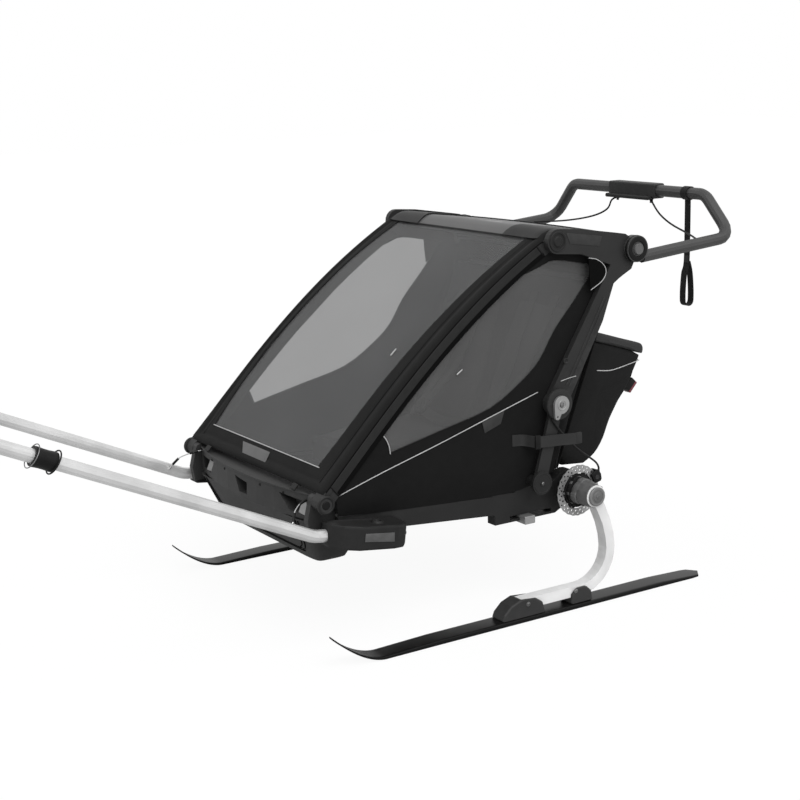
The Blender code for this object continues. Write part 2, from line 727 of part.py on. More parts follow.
def build_leaf_sliders():
    """Clamps that slide along the leaves and set how stiff the axle is sprung."""
    middle_y = -0.122
    half_length = 0.015
    leaf_bottom = LEAF_TOP_Z - LEAF_THICKNESS
    room = 0.0005
    clamp = block((RAIL_INNER - 0.006, middle_y - half_length, leaf_bottom - 0.006),
                  (RAIL_OUTER + 0.022, middle_y + half_length, LEAF_TOP_Z + 0.0070))
    clamp = bevelled(clamp, 0.0015)
    slot = block((RAIL_INNER - GAP, middle_y - 0.05, leaf_bottom - GAP),
                 (RAIL_OUTER + GAP, middle_y + 0.05, LEAF_TOP_Z + room))
    pair(cut(clamp, slot), "leaf_slider", "silver_metal", (RAIL_OUTER, middle_y, LEAF_TOP_Z))


def build_brake_discs():
    """Brake discs on the claw hubs."""
    profile = [
        (DISC_INNER_FACE, DISC_SEAT_RADIUS + GAP),
        (DISC_INNER_FACE, DISC_RADIUS),
        (DISC_INNER_FACE + DISC_THICKNESS, DISC_RADIUS),
        (DISC_INNER_FACE + DISC_THICKNESS, DISC_SEAT_RADIUS + GAP),
        (DISC_INNER_FACE, DISC_SEAT_RADIUS + GAP),
    ]
    pair(turned(profile, AXLE, 32), "brake_disc", "steel", (0.0, *AXLE))


def build_claw_hubs():
    """Hubs that plug into the axle: stub shaft, disc carrier, claw, neck and end cap."""
    flange = DISC_INNER_FACE + DISC_THICKNESS + GAP
    claw = flange + CARRIER_THICKNESS
    neck = SKI_STRUT_INNER - GAP
    strut_outer = SKI_STRUT_INNER + SKI_STRUT_WIDTH + GAP
    profile = [
        (STUB_START, 0.0),
        (STUB_START, STUB_RADIUS),
        (CARRIER_INNER_FACE, STUB_RADIUS),
        (CARRIER_INNER_FACE, DISC_SEAT_RADIUS),
        (flange, DISC_SEAT_RADIUS),
        (flange, CARRIER_RADIUS),
        (claw, CARRIER_RADIUS),
        (claw, CLAW_RADIUS),
        (claw + CLAW_LENGTH, CLAW_RADIUS),
        (claw + CLAW_LENGTH, CLAW_NECK_RADIUS),
        (neck, CLAW_NECK_RADIUS),
        (neck, SKI_STRUT_NECK_RADIUS),
        (strut_outer, SKI_STRUT_NECK_RADIUS),
        (strut_outer, SKI_CAP_RADIUS),
        (strut_outer + SKI_CAP_THICKNESS, SKI_CAP_RADIUS),
        (strut_outer + SKI_CAP_THICKNESS, 0.0),
    ]
    pair(turned(profile, AXLE, 20), "claw_hub", "cast_grey", (0.0, *AXLE))


def build_ski_struts():
    """Bent aluminium arms from the claw hubs down to the skis."""
    bend_radius_y = STRUT_BULGE_Y - STRUT_BEND_Y
    bend_middle_z = STRUT_FOOT_Z + bend_radius_y
    route = [tuple(AXLE), (0.022, 0.228), (0.037, 0.194), (0.0465, 0.160)]
    for step in range(9):
        angle = math.radians(-90 * step / 8)
        route.append((STRUT_BEND_Y + bend_radius_y * math.cos(angle),
                      bend_middle_z + bend_radius_y * math.sin(angle)))
    route.append((STRUT_FOOT_FRONT_Y, STRUT_FOOT_Z))
    outer = SKI_STRUT_INNER + SKI_STRUT_WIDTH
    arm = slab(ribbon(route, SKI_STRUT_HALF_DEPTH), SKI_STRUT_INNER, outer)
    ring = side_rod(AXLE, SKI_STRUT_INNER, outer, SKI_STRUT_RING_RADIUS, 24)
    hole = side_rod(AXLE, SKI_STRUT_INNER - 0.01, outer + 0.01, SKI_STRUT_NECK_RADIUS + GAP, 20)
    pair(cut(union(arm, ring), hole), "ski_strut", "silver_metal", (0.0, *AXLE))


def build_skis():
    """Skis with an upturned, narrowed tip and a thinner tail."""
    middle_x = SKI_STRUT_INNER + SKI_STRUT_WIDTH / 2
    rings = []
    stations = (
        (0.0, 0.024, 0.005), (0.12, 0.042, 0.005), (0.35, 0.051, 0.006),
        (0.65, SKI_WIDTH, 0.007), (1.0, SKI_WIDTH, 0.008))
    for share, width, thickness in stations:
        y = SKI_TIP_Y + (SKI_CONTACT_Y - SKI_TIP_Y) * share
        bottom = SKI_TIP_RISE * (1 - share) ** 1.8
        rings.append((y, width, bottom, thickness))
    rings += [
        (-0.45, SKI_WIDTH, 0.0, SKI_THICKNESS),
        (0.20, SKI_WIDTH, 0.0, SKI_THICKNESS),
        (SKI_TAIL_Y - 0.030, SKI_WIDTH - 0.002, 0.0, 0.008),
        (SKI_TAIL_Y, SKI_WIDTH - 0.022, 0.0, 0.007),
    ]
    corners = []
    for y, width, bottom, thickness in rings:
        left, right = middle_x - width / 2, middle_x + width / 2
        top = bottom + thickness
        corners.append([(left, y, bottom), (right, y, bottom), (right, y, top), (left, y, top)])
    pair(loft(corners), "ski", "ski_black", (0.0, *AXLE))


def build_ski_brackets():
    """Toe and heel brackets that hold the strut's foot on the ski."""
    middle_x = SKI_STRUT_INNER + SKI_STRUT_WIDTH / 2
    base = SKI_THICKNESS + GAP
    floor = STRUT_FOOT_Z - SKI_STRUT_HALF_DEPTH - GAP
    inner, outer = middle_x - BRACKET_WIDTH / 2, middle_x + BRACKET_WIDTH / 2
    toe_front = STRUT_FOOT_FRONT_Y - 0.058
    toe = [
        (toe_front, base), (toe_front + 0.122, base), (toe_front + 0.116, base + 0.026),
        (toe_front + 0.098, base + 0.038), (toe_front + 0.052, base + 0.0425),
        (toe_front + 0.026, base + 0.033), (toe_front + 0.006, base + 0.015)]
    heel_y = -0.042
    heel = [(heel_y - 0.032, base), (heel_y + 0.032, base), (heel_y + 0.028, base + 0.024),
            (heel_y + 0.014, base + 0.037), (heel_y - 0.014, base + 0.037), (heel_y - 0.028, base + 0.024)]
    outer_face = SKI_STRUT_INNER + SKI_STRUT_WIDTH + GAP
    kinds = (("toe_bracket", toe, STRUT_FOOT_FRONT_Y - GAP), ("heel_bracket", heel, -0.2))
    for name, outline, channel_front in kinds:
        bracket = bevelled(slab(outline, inner, outer), 0.003)
        channel = block((SKI_STRUT_INNER - GAP, channel_front, floor), (outer_face, 0.1, 0.1))
        pair(cut(bracket, channel), name, "black_plastic", (0.0, *AXLE))


def build_tow_brackets():
    """Winged sockets outboard of the rails that hold the tow bars."""
    inner = RAIL_OUTER + GAP
    entry = 0.028
    outline = [
        (inner, entry), (TOW_BAR_X + 0.020, entry), (TOW_BAR_X + 0.044, entry + 0.022),
        (TOW_BAR_X + 0.060, entry + 0.060), (TOW_BAR_X + 0.060, entry + 0.150),
        (TOW_BAR_X + 0.053, entry + 0.172), (TOW_BAR_X + 0.032, entry + 0.188), (inner, entry + 0.190)]
    wing = bevelled(slab(outline, -0.023, 0.030, plane="XY"), 0.005, 2)
    socket = rod((TOW_BAR_X, 0.0, 0.0), (TOW_BAR_X, TOW_SOCKET_REACH + GAP, 0.0), TOW_BAR_RADIUS + GAP, 20)
    button_x = TOW_BAR_X + 0.012
    button_hole = rod((button_x, entry + 0.168, 0.0), (button_x, entry + 0.230, 0.0), 0.0073, 12)
    wing = cut(wing, socket, button_hole)
    turn = Matrix.Rotation(-TOW_SOCKET_SLOPE, 4, "X")
    wing.data.transform(Matrix.Translation((0.0, *TOW_BEND)) @ turn)
    pair(wing, "tow_bracket", "black_plastic")
    button = rod((button_x, entry + 0.178, 0.0), (button_x, entry + 0.199, 0.0), 0.007, 12)
    button = bevelled(button, 0.001)
    button.data.transform(Matrix.Translation((0.0, *TOW_BEND)) @ turn)
    pair(button, "tow_lock_button", "grey_plastic", (button_x, *on_socket(entry + 0.178, 0.0)))


def build_tow_bars():
    """Tow bars in two halves: the bent rear half, and the front half with its sleeve and eye."""
    rear_route = rounded_route([
        (TOW_BAR_X, *on_socket(TOW_SOCKET_REACH, 0.0)),
        (TOW_BAR_X, *TOW_BEND),
        (TOW_BAR_X, *on_tow_bar(TOW_JOINT_DISTANCE))], 0.070, 6)
    pair(frozen(tube(rear_route, TOW_BAR_RADIUS, resolution=4)), "tow_bar_rear", "silver_metal")
    sleeve_start = TOW_JOINT_DISTANCE - SLEEVE_OVERLAP
    front = rod((TOW_BAR_X, *on_tow_bar(TOW_JOINT_DISTANCE + GAP)),
                (TOW_BAR_X, *on_tow_bar(TOW_BAR_REACH - 0.010)), TOW_BAR_RADIUS, 16)
    sleeve = rod((TOW_BAR_X, *on_tow_bar(sleeve_start)),
                 (TOW_BAR_X, *on_tow_bar(sleeve_start + SLEEVE_LENGTH)), SLEEVE_RADIUS, 20)
    eye_middle = on_tow_bar(TOW_BAR_REACH)
    half = TOW_EYE_WIDTH / 2
    eye = side_rod(eye_middle, TOW_BAR_X - half, TOW_BAR_X + half, TOW_EYE_RADIUS, 20)
    front = union(front, sleeve, eye)
    bore = rod((TOW_BAR_X, *on_tow_bar(sleeve_start - 0.010)),
               (TOW_BAR_X, *on_tow_bar(TOW_JOINT_DISTANCE + GAP)), TOW_BAR_RADIUS + GAP, 16)
    hole = side_rod(eye_middle, TOW_BAR_X - 0.03, TOW_BAR_X + 0.03, TOW_EYE_HOLE_RADIUS, 12)
    pair(cut(front, bore, hole), "tow_bar_front", "silver_metal")


def build_safety_cables():
    """Short wire cables from the nose to the tow bars."""
    start_x = EAR_INNER - 0.010
    half = EAR_INNER + 0.008
    start_y = BUMPER_FRONT_Y + BUMPER_BOW * (start_x / half) ** 2 - 0.0006
    anchor = on_tow_bar(0.050)
    end_x = TOW_BAR_X - TOW_BAR_RADIUS - SAFETY_CABLE_RADIUS
    route = smooth_route([
        (start_x, start_y, BUMPER_TOP_Z - 0.008),
        (start_x + 0.004, start_y - 0.022, BUMPER_TOP_Z - 0.010),
        (start_x + 0.022, start_y - 0.050, BUMPER_TOP_Z - 0.022),
        (end_x - 0.006, anchor.x + 0.010, anchor.y + 0.014),
        (end_x, anchor.x, anchor.y)])
    pair(frozen(tube(route, SAFETY_CABLE_RADIUS)), "safety_cable", "steel")


def build_pillars():
    """Front pillars, their top crossbar and the front cover that lies on them."""
    tip, half = PILLAR_LENGTH, PILLAR_HALF_DEPTH
    stations = bow_stations()
    shell = arc((0.0, 0.0), half, 90, 270, 8) + [(along, bow(along) - half) for along in stations]
    shell += arc((tip, 0.0), half, -90, 90, 8) + [(along, bow(along) + half) for along in stations[::-1]]
    holes = [arc((centre, 0.0), PIN_RADIUS + GAP, 0, 330, 11) for centre in (0.0, tip)]
    pillar = slab(shell, PILLAR_INNER, PILLAR_INNER + PILLAR_WIDTH, holes=holes)
    pillar.data.transform(Matrix.Translation((0.0, *NOSE_PIVOT)) @ Matrix.Rotation(PILLAR_ANGLE, 4, "X"))
    pair(pillar, "front_pillar", "black_fabric", (0.0, *NOSE_PIVOT))
    reach = PILLAR_INNER - GAP
    finish(side_rod(TOP_PIVOT, -reach, reach, 0.010, 16), "top_crossbar", "black_metal", (0.0, *NOSE_PIVOT))
    corners = [on_pillar(along, COVER_LIFT) for along in stations]
    corners += [on_pillar(along, COVER_LIFT + COVER_THICKNESS) for along in stations[::-1]]
    cover = slab([tuple(corner) for corner in corners], -COVER_HALF_WIDTH, COVER_HALF_WIDTH)
    hinge = on_pillar(COVER_END, COVER_LIFT + COVER_THICKNESS)
    finish(cover, "front_cover", "window_film", (0.0, *hinge))


def build_side_plates():
    """Upper frame sides: the plate from the top pivot to the hub, and the post down to the fold joint."""
    outline = arc(TOP_PIVOT, PLATE_EYE_RADIUS, 85, 262, 9)
    outline += [(TOP_PIVOT.x + 0.070, TOP_PIVOT.y - 0.035)]
    outline += [tuple(POST_TOP + (on_post(0.0, POST_HALF_WIDTH) - POST_FOOT) + Vector((-0.012, 0.012)))]
    outline += arc(FOLD_JOINT, FOLD_EYE_RADIUS, 125, 300, 9)
    outline += [tuple(on_post(-0.024, -POST_HALF_WIDTH))]
    outline += [tuple(HUB + spot) for spot in POST_REAR_EDGE_FROM_HUB]
    outline += arc(HUB, HUB_CHEEK_RADIUS, -75, 95, 7)
    outline += [tuple(HUB + spot) for spot in PLATE_TOP_EDGE_FROM_HUB]
    fold_hole = arc(FOLD_JOINT, PIN_RADIUS + 0.006, 0, 330, 11)
    plate = slab(outline, PLATE_INNER, PLATE_OUTER, holes=(fold_hole,))
    pin = side_rod(TOP_PIVOT, PILLAR_INNER + 0.001, PLATE_INNER + 0.004, PIN_RADIUS, 12)
    hub_room = side_rod(HUB, HUB_CHEEK_OUTER, PLATE_OUTER + 0.010, HUB_RADIUS + 2 * GAP, 24)
    plate = cut(plate, hub_room)
    boss = side_rod(HUB, PLATE_INNER + 0.001, HUB_CHEEK_OUTER + HUB_BOSS_LENGTH, HUB_BOSS_RADIUS, 16)
    pair(union(plate, pin, boss), "side_plate", "grey_plastic", (0.0, *TOP_PIVOT))


def build_roof():
    """Roof panel between the side plates, and the crossbar at the hubs."""
    bottom = TOP_PIVOT.y + ROOF_ABOVE_PIVOT
    fall = (ROOF_REAR_Y - ROOF_FRONT_Y) * ROOF_FALL
    outline = [(ROOF_FRONT_Y, bottom), (ROOF_REAR_Y, bottom + fall),
               (ROOF_REAR_Y, bottom + fall + ROOF_THICKNESS), (ROOF_FRONT_Y, bottom + ROOF_THICKNESS)]
    half = PLATE_INNER - GAP
    finish(slab(outline, -half, half), "roof_panel", "window_film", (0.0, *TOP_PIVOT))
    spot = HUB + Vector((-0.028, -0.020))
    finish(side_rod(spot, -half, half, 0.010, 16), "rear_crossbar", "black_metal", (0.0, *TOP_PIVOT))


def build_lower_struts():
    """Lower struts with the round fold housings, and the release levers on them."""
    along = (STRUT_PIVOT - FOLD_JOINT).normalized()
    across = Vector((-along.y, along.x)) * STRUT_HALF_WIDTH
    heading = math.degrees(math.atan2(along.y, along.x))
    outline = arc(FOLD_JOINT, 0.030, heading + 50, heading + 310, 10)
    outline += [tuple(FOLD_JOINT - across + along * 0.030), tuple(STRUT_PIVOT - across - along * 0.022)]
    outline += arc(STRUT_PIVOT, 0.0255, heading - 50, heading + 50, 6)
    outline += [tuple(STRUT_PIVOT + across - along * 0.022), tuple(FOLD_JOINT + across + along * 0.030)]
    hole = arc(STRUT_PIVOT, STRUT_PIN_RADIUS + GAP, 0, 337.5, 15)
    strut = slab(outline, STRUT_INNER, STRUT_OUTER, holes=(hole,))
    housing = side_rod(FOLD_JOINT, STRUT_OUTER - 0.002, HOUSING_OUTER, FOLD_HOUSING_RADIUS, 24)
    pin = side_rod(FOLD_JOINT, HOUSING_OUTER - 0.004, HOUSING_OUTER + 0.0078, PIN_RADIUS, 12)
    pair(union(strut, housing, pin), "lower_strut", "grey_plastic", (0.0, *STRUT_PIVOT))
    tail = FOLD_JOINT + Vector((-0.0125, -0.0265))
    lever = arc(FOLD_JOINT, 0.0215, -95, 190, 14) + arc(tail, 0.0075, 200, 330, 5)
    holes = [arc(FOLD_JOINT, PIN_RADIUS + GAP, 0, 330, 11), arc(tail, 0.0023, 0, 300, 5)]
    lever = slab(lever, HOUSING_OUTER + GAP, HOUSING_OUTER + GAP + 0.0070, holes=holes)
    pair(lever, "fold_lever", "cast_grey", (HOUSING_OUTER, *FOLD_JOINT))


def build_push_bar():
    """Push bar with a hub eye at each end, its release buttons, brake housing and brake lever."""
    half_route = [(PUSH_ARM_X, *ARM_START), (PUSH_ARM_X, *GRIP_LOW), (GRIP_HIGH_X, *GRIP_HIGH)]
    corners = half_route + [(-x, y, z) for x, y, z in half_route[::-1]]
    bar = frozen(tube(rounded_route(corners, PUSH_TUBE_BEND, 5), PUSH_TUBE_RADIUS, resolution=4))
    eyes, cutters = [], []
    outer = HUB_OUTER
    for side in (1, -1):
        eyes.append(side_rod(HUB, *sorted((side * HUB_INNER, side * outer)), HUB_RADIUS, 24))
        boss_end = HUB_CHEEK_OUTER + HUB_BOSS_LENGTH + GAP
        boss_span = sorted((side * (HUB_INNER - 0.01), side * boss_end))
        cutters.append(side_rod(HUB, *boss_span, HUB_BOSS_RADIUS + GAP, 16))
        recess_span = sorted((side * (outer - BUTTON_SINK - 0.005), side * (outer + 0.01)))
        cutters.append(side_rod(HUB, *recess_span, BUTTON_RADIUS + GAP, 20))
    bar = cut(union(bar, *eyes), *cutters)
    finish(bar, "push_bar", "black_metal", (0.0, *HUB))
    button = side_rod(HUB, outer - BUTTON_SINK, outer - BUTTON_SINK + BUTTON_HEIGHT, BUTTON_RADIUS, 20)
    pair(bevelled(button, 0.0015), "hub_button", "cast_grey", (outer, *HUB))

    y, z = GRIP_HIGH
    reach = BRAKE_HOUSING_HALF_LENGTH
    front = y - 0.0195
    housing = block((-reach, front, z - 0.0205), (reach, y + BRAKE_HOUSING_REAR, z + 0.0180))
    housing = bevelled(housing, 0.004, 2)
    passage = rod((-0.2, y, z), (0.2, y, z), PUSH_TUBE_RADIUS + GAP, 16)
    finish(cut(housing, passage), "brake_housing", "black_plastic", (0.0, *HUB))
    lever_hinge = (0.0, front - GAP, z - 0.013)
    lever = block((-reach + 0.006, lever_hinge[1] - 0.017, z - 0.023),
                  (reach - 0.006, lever_hinge[1], lever_hinge[2]))
    finish(bevelled(lever, 0.0025), "brake_lever", "black_plastic", lever_hinge)


def build_wrist_strap():
    """Webbing strap on the push bar, with a narrow hand loop at its end."""
    y, z = GRIP_HIGH
    inner = PUSH_TUBE_RADIUS + GAP
    ply = 0.0022
    neck_z = z - 0.62 * STRAP_DROP
    low_z = z - STRAP_DROP
    outline = arc((y, z), inner + ply, -72, 252, 14)
    outline += [(y - ply, z - 0.035), (y - ply, neck_z)]
    wide, shoulder = STRAP_LOOP_RADIUS, STRAP_LOOP_RADIUS - 0.002
    outline += [(y - shoulder, neck_z - 0.050), (y - wide, low_z + 2 * wide)]
    outline += arc((y, low_z + wide), wide, 190, 350, 6)
    outline += [(y + wide, low_z + 2 * wide), (y + shoulder, neck_z - 0.050)]
    outline += [(y + ply, neck_z), (y + ply, z - 0.035)]
    collar = arc((y, z), inner, 0, 337.5, 15)
    loop = [(y, neck_z - 0.006), (y + shoulder - ply, neck_z - 0.050), (y + wide - ply, low_z + 2 * wide)]
    loop += arc((y, low_z + wide), wide - ply, -10, -170, 6)
    loop += [(y - wide + ply, low_z + 2 * wide), (y - shoulder + ply, neck_z - 0.050)]
    strap = slab(outline, STRAP_X - STRAP_WIDTH / 2, STRAP_X + STRAP_WIDTH / 2, holes=(collar, loop))
    finish(strap, "wrist_strap", "black_fabric", (0.0, *HUB))


def build_cables():
    """Brake cables on the push bar, and the hoses at the calipers."""
    y, z = GRIP_HIGH
    arm_end_y = HUB.x + CABLE_ARM_REACH
    share = (arm_end_y - ARM_START.x) / (GRIP_LOW.x - ARM_START.x)
    arm_end_z = ARM_START.y + (GRIP_LOW.y - ARM_START.y) * share
    end_x = PUSH_ARM_X - PUSH_TUBE_RADIUS - 0.0012
    reach = end_x - CABLE_EXIT_X
    route = smooth_route([
        (CABLE_EXIT_X, y - 0.004, z - 0.0240), (CABLE_EXIT_X + reach * 0.059, y - 0.014, z - 0.0325),
        (CABLE_EXIT_X + reach * 0.148, y - 0.011, z - 0.059),
        (CABLE_EXIT_X + reach * 0.344, y - 0.018, z - 0.0805),
        (CABLE_EXIT_X + reach * 0.666, y - 0.0375, z - 0.097), (end_x, arm_end_y, arm_end_z)], 4)
    pair(frozen(tube(route, HOSE_RADIUS)), "brake_cable", "rubber", (0.0, *HUB))
    radial = Vector((math.cos(CALIPER_ANGLE), math.sin(CALIPER_ANGLE)))
    tangent = Vector((-radial.y, radial.x))
    start = AXLE + radial * 0.0792
    away = Vector((-0.567, -0.824))
    end = FOLD_JOINT + away * (FOLD_HOUSING_RADIUS + 0.0029)
    hose_x = DISC_INNER_FACE + 0.0045
    route = smooth_route([
        (hose_x, *start), (hose_x, *(start + radial * 0.008)),
        (hose_x, *(start + radial * 0.011 + tangent * 0.010)),
        (hose_x + 0.001, 0.047, 0.339), (hose_x + 0.003, 0.0175, 0.354),
        (hose_x + 0.006, -0.0170, 0.3785), (HOUSING_OUTER - 0.004, -0.0575, 0.4188),
        (HOUSING_OUTER - 0.004, *end)], 3)
    pair(frozen(tube(route, HOSE_RADIUS)), "caliper_hose", "rubber")


def build_side_panels():
    """Fabric sides between pillar, plate and rail."""
    below = -PILLAR_HALF_DEPTH - GAP * 2
    along_the_pillar = [0.030, *bow_stations()[1:-1], PILLAR_LENGTH - 0.033]
    outline = [tuple(on_pillar(along, below)) for along in along_the_pillar]
    outline += [tuple(HUB + Vector(spot)) for spot in ((-0.0835, -0.042), (-0.0465, -0.068))]
    outline += [tuple(on_post(along, across)) for along, across in ((0.235, -0.012), (0.058, -0.019))]
    outline += [tuple(FOLD_JOINT + Vector((0.046, -0.010)))]
    round_the_strut = ((0.074, 0.045), (-0.018, 0.030), (-0.030, -0.028))
    outline += [tuple(STRUT_PIVOT + Vector(spot)) for spot in round_the_strut]
    outline += [(-0.450, rail_middle(-0.450) + 0.0223), tuple(NOSE_PIVOT + Vector((0.041, -0.029)))]
    panel = slab(outline, PANEL_INNER, PANEL_INNER + PANEL_THICKNESS)
    pair(panel, "side_panel", "black_fabric")


def build_back_and_seat():
    """Fabric back of the cabin, and the padded two-seat bench in front of it."""
    across = Vector((BACK_THICKNESS / 0.93, 0.0))
    outline = [tuple(BACK_LOW), tuple(BACK_LOW + across), tuple(BACK_HIGH + across), tuple(BACK_HIGH)]
    half = PANEL_INNER - GAP
    finish(slab(outline, -half, half), "back_panel", "black_fabric")
    floor = FLOOR_THICKNESS / 2 + GAP
    front_y, apron_y = SEAT_FRONT_Y, SEAT_FRONT_Y + SEAT_APRON_THICKNESS
    seat_top, back_top = SEAT_TOP_Z, SEAT_BACK_TOP_Z
    pad_bottom = seat_top - SEAT_PAD_THICKNESS
    outline = [
        (front_y, rail_middle(front_y) + floor),
        (apron_y, rail_middle(apron_y) + floor),
        (apron_y + 0.004, pad_bottom),
        (back_front_y(pad_bottom) - 0.001, pad_bottom),
        (back_front_y(back_top) - 0.001, back_top),
        (back_front_y(back_top) - 0.028, back_top + 0.002),
        (back_front_y(seat_top) - 0.046, seat_top + 0.012),
        (front_y + 0.010, seat_top - 0.004),
        (front_y - 0.004, seat_top - 0.020),
    ]
    seat = bevelled(slab(outline, -SEAT_HALF_WIDTH, SEAT_HALF_WIDTH), 0.006)
    finish(seat, "seat_bench", "black_fabric")


def build_bag():
    """Cargo bag behind the back panel, and its lid."""
    face = BACK_THICKNESS / 0.93 + 0.0006
    lid_slope = (LID_REAR.y - LID_FRONT.y) / (LID_REAR.x - LID_FRONT.x)
    top_z = LID_FRONT.y - LID_THICKNESS - GAP
    sections = [(*BAG_BOTTOM, *BAG_REAR_LINE[0], RAIL_INNER - 0.006)]
    for rear, drop in zip(BAG_REAR_LINE[1:], (0.011, 0.008, -0.010)):
        front_z = rear.y - drop
        sections.append((back_front_y(front_z) + face, front_z, *rear, BAG_HALF_WIDTH))
    top_rear_z = top_z + lid_slope * (BAG_TOP_REAR.x - LID_FRONT.x)
    sections.append((back_front_y(top_z) + face, top_z, BAG_TOP_REAR.x, top_rear_z, BAG_HALF_WIDTH))

    def ring(section, inset, lift):
        front, front_z, rear, rear_z, half = section
        front, rear, half = front + inset, rear - inset, half - inset
        return [(-half, front, front_z + lift), (half, front, front_z + lift),
                (half, rear, rear_z + lift), (-half, rear, rear_z + lift)]

    bag = loft([ring(section, 0.0, 0.0) for section in sections])
    room = [ring(sections[0], 2 * BAG_WALL, BAG_WALL)]
    room += [ring(section, BAG_WALL, 0.0) for section in sections[1:]]
    room.append(ring(sections[-1], BAG_WALL, 0.020))
    finish(cut(bag, loft(room)), "cargo_bag", "black_fabric")
    front_y, rear_y = LID_FRONT.x, LID_REAR.x
    skirt = BAG_TOP_REAR.x + 0.003

    def under(y, drop=LID_THICKNESS):
        return y, LID_FRONT.y + lid_slope * (y - front_y) - drop

    outline = [
        under(front_y), under(skirt), under(skirt, LID_THICKNESS + LID_SKIRT),
        under(rear_y, LID_THICKNESS + LID_SKIRT), under(rear_y, 0.003),
        under(rear_y - 0.006, 0.0), under(front_y, 0.0)]
    hinge = (0.0, *under(front_y))
    finish(slab(outline, -BAG_HALF_WIDTH - 0.006, BAG_HALF_WIDTH + 0.006), "bag_lid", "black_fabric", hinge)


def main():
    """Build the trailer, one sub-assembly after another."""
    build_base_rails()
    build_floor()
    build_bumper()
    build_footwell()
    build_axle()
    build_calipers()
    build_leaf_sliders()
    build_brake_discs()
    build_claw_hubs()
    build_ski_struts()
    build_skis()
    build_ski_brackets()
    build_tow_brackets()
    build_tow_bars()
    build_safety_cables()
    build_pillars()
    build_side_plates()
    build_roof()
    build_lower_struts()
    build_push_bar()
    build_wrist_strap()
    build_cables()
    build_side_panels()
    build_back_and_seat()
    build_bag()


main()
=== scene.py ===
"""Looks of a two-seat child trailer on a cross-country ski kit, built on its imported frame.

Sizes are in metres. Places are written with the axle close to Y = 0, +X to the trailer's left, and at()
moves them to the frame's own place.
"""
import logging
import math
from collections.abc import Callable, Sequence
from dataclasses import dataclass
from enum import Enum

import bpy
from mathutils import Matrix, Vector


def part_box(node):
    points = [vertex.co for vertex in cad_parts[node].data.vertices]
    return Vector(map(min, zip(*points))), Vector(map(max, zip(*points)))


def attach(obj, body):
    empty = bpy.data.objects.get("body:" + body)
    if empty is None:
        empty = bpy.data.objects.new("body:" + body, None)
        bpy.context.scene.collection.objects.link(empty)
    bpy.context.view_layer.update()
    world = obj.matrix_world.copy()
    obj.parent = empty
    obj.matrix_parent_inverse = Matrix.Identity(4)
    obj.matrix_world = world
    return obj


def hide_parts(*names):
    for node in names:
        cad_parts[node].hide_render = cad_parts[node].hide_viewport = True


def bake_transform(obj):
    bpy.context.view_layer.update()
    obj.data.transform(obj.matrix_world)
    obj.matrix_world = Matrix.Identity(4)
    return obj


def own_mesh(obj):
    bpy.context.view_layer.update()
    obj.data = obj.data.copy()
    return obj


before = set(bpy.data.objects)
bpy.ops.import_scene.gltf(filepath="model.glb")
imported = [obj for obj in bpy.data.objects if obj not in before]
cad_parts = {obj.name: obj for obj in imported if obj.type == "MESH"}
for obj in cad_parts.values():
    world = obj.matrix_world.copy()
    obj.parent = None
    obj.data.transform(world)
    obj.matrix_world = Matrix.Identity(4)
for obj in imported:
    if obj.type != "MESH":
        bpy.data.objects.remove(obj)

LOG = logging.getLogger("trailer")
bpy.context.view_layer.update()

Point = tuple[float, float, float]
SidePoint = tuple[float, float]
Place = Callable[[float, float], Point]

AXLE_LOW, AXLE_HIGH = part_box("axle")
AXLE = (0.006, 0.260)
SHIFT = (AXLE_LOW.y + AXLE_HIGH.y) / 2 - AXLE[0]

NOSE_PIVOT = Vector((-0.671, 0.341))
PILLAR_LENGTH = 0.808
PILLAR_ANGLE = math.radians(39.5)
PILLAR_DIRECTION = Vector((math.cos(PILLAR_ANGLE), math.sin(PILLAR_ANGLE)))
PILLAR_NORMAL = Vector((-PILLAR_DIRECTION.y, PILLAR_DIRECTION.x))
PILLAR_HALF_DEPTH = 0.0165
TOP_PIVOT = NOSE_PIVOT + PILLAR_DIRECTION * PILLAR_LENGTH
HUB = TOP_PIVOT + Vector((0.226, -0.035))
FOLD_JOINT = Vector((-0.058, 0.480))
STRUT_PIVOT = Vector((-0.110, 0.300))
POST_FOOT = FOLD_JOINT + Vector((0.022, -0.001))
POST_DIRECTION = (HUB + Vector((-0.045, -0.052)) - POST_FOOT).normalized()
BACK_LOW = Vector((-0.035, 0.315))
BACK_HIGH = HUB + Vector((-0.0365, -0.055))
TOW_BEND = Vector((-0.701, 0.2757))
TOW_FORWARD = Vector((-math.cos(math.radians(24.6)), math.sin(math.radians(24.6))))
TOW_X = 0.330
TOW_RADIUS = 0.0145
NOSE_FRONT = -0.706
NOSE_BOW = 0.038
NOSE_HALF = 0.290
GRIP_HIGH = HUB + Vector((0.3075, 0.1000))
PUSH_TUBE_RADIUS = 0.0148
MERGE_DISTANCE = 0.00002


def at(x: float, y: float, z: float) -> Vector:
    """A drawing place moved to the frame's place."""
    return Vector((x, y + SHIFT, z))


def srgb(level: float) -> float:
    """Linear value of an 8-bit display level."""
    share = level / 255
    return share / 12.92 if share <= 0.04045 else ((share + 0.055) / 1.055) ** 2.4


def grey(level: float, blue: float = 0.0) -> Point:
    """A neutral colour of one display level, a little bluer or warmer."""
    value = srgb(level)
    return value * (1 - blue), value, value * (1 + blue)


def pillar_bow(along: float) -> float:
    """Height of the pillar's middle line above the straight line between its pivots."""
    share = max(along / PILLAR_LENGTH, 0.0) ** 1.25
    return 0.033 * 4 * share * (1 - share)


def on_pillar(along: float, above: float) -> Vector:
    """Side-view point at a distance along the front pillar, and above its middle line."""
    return NOSE_PIVOT + PILLAR_DIRECTION * along + PILLAR_NORMAL * (pillar_bow(along) + above)


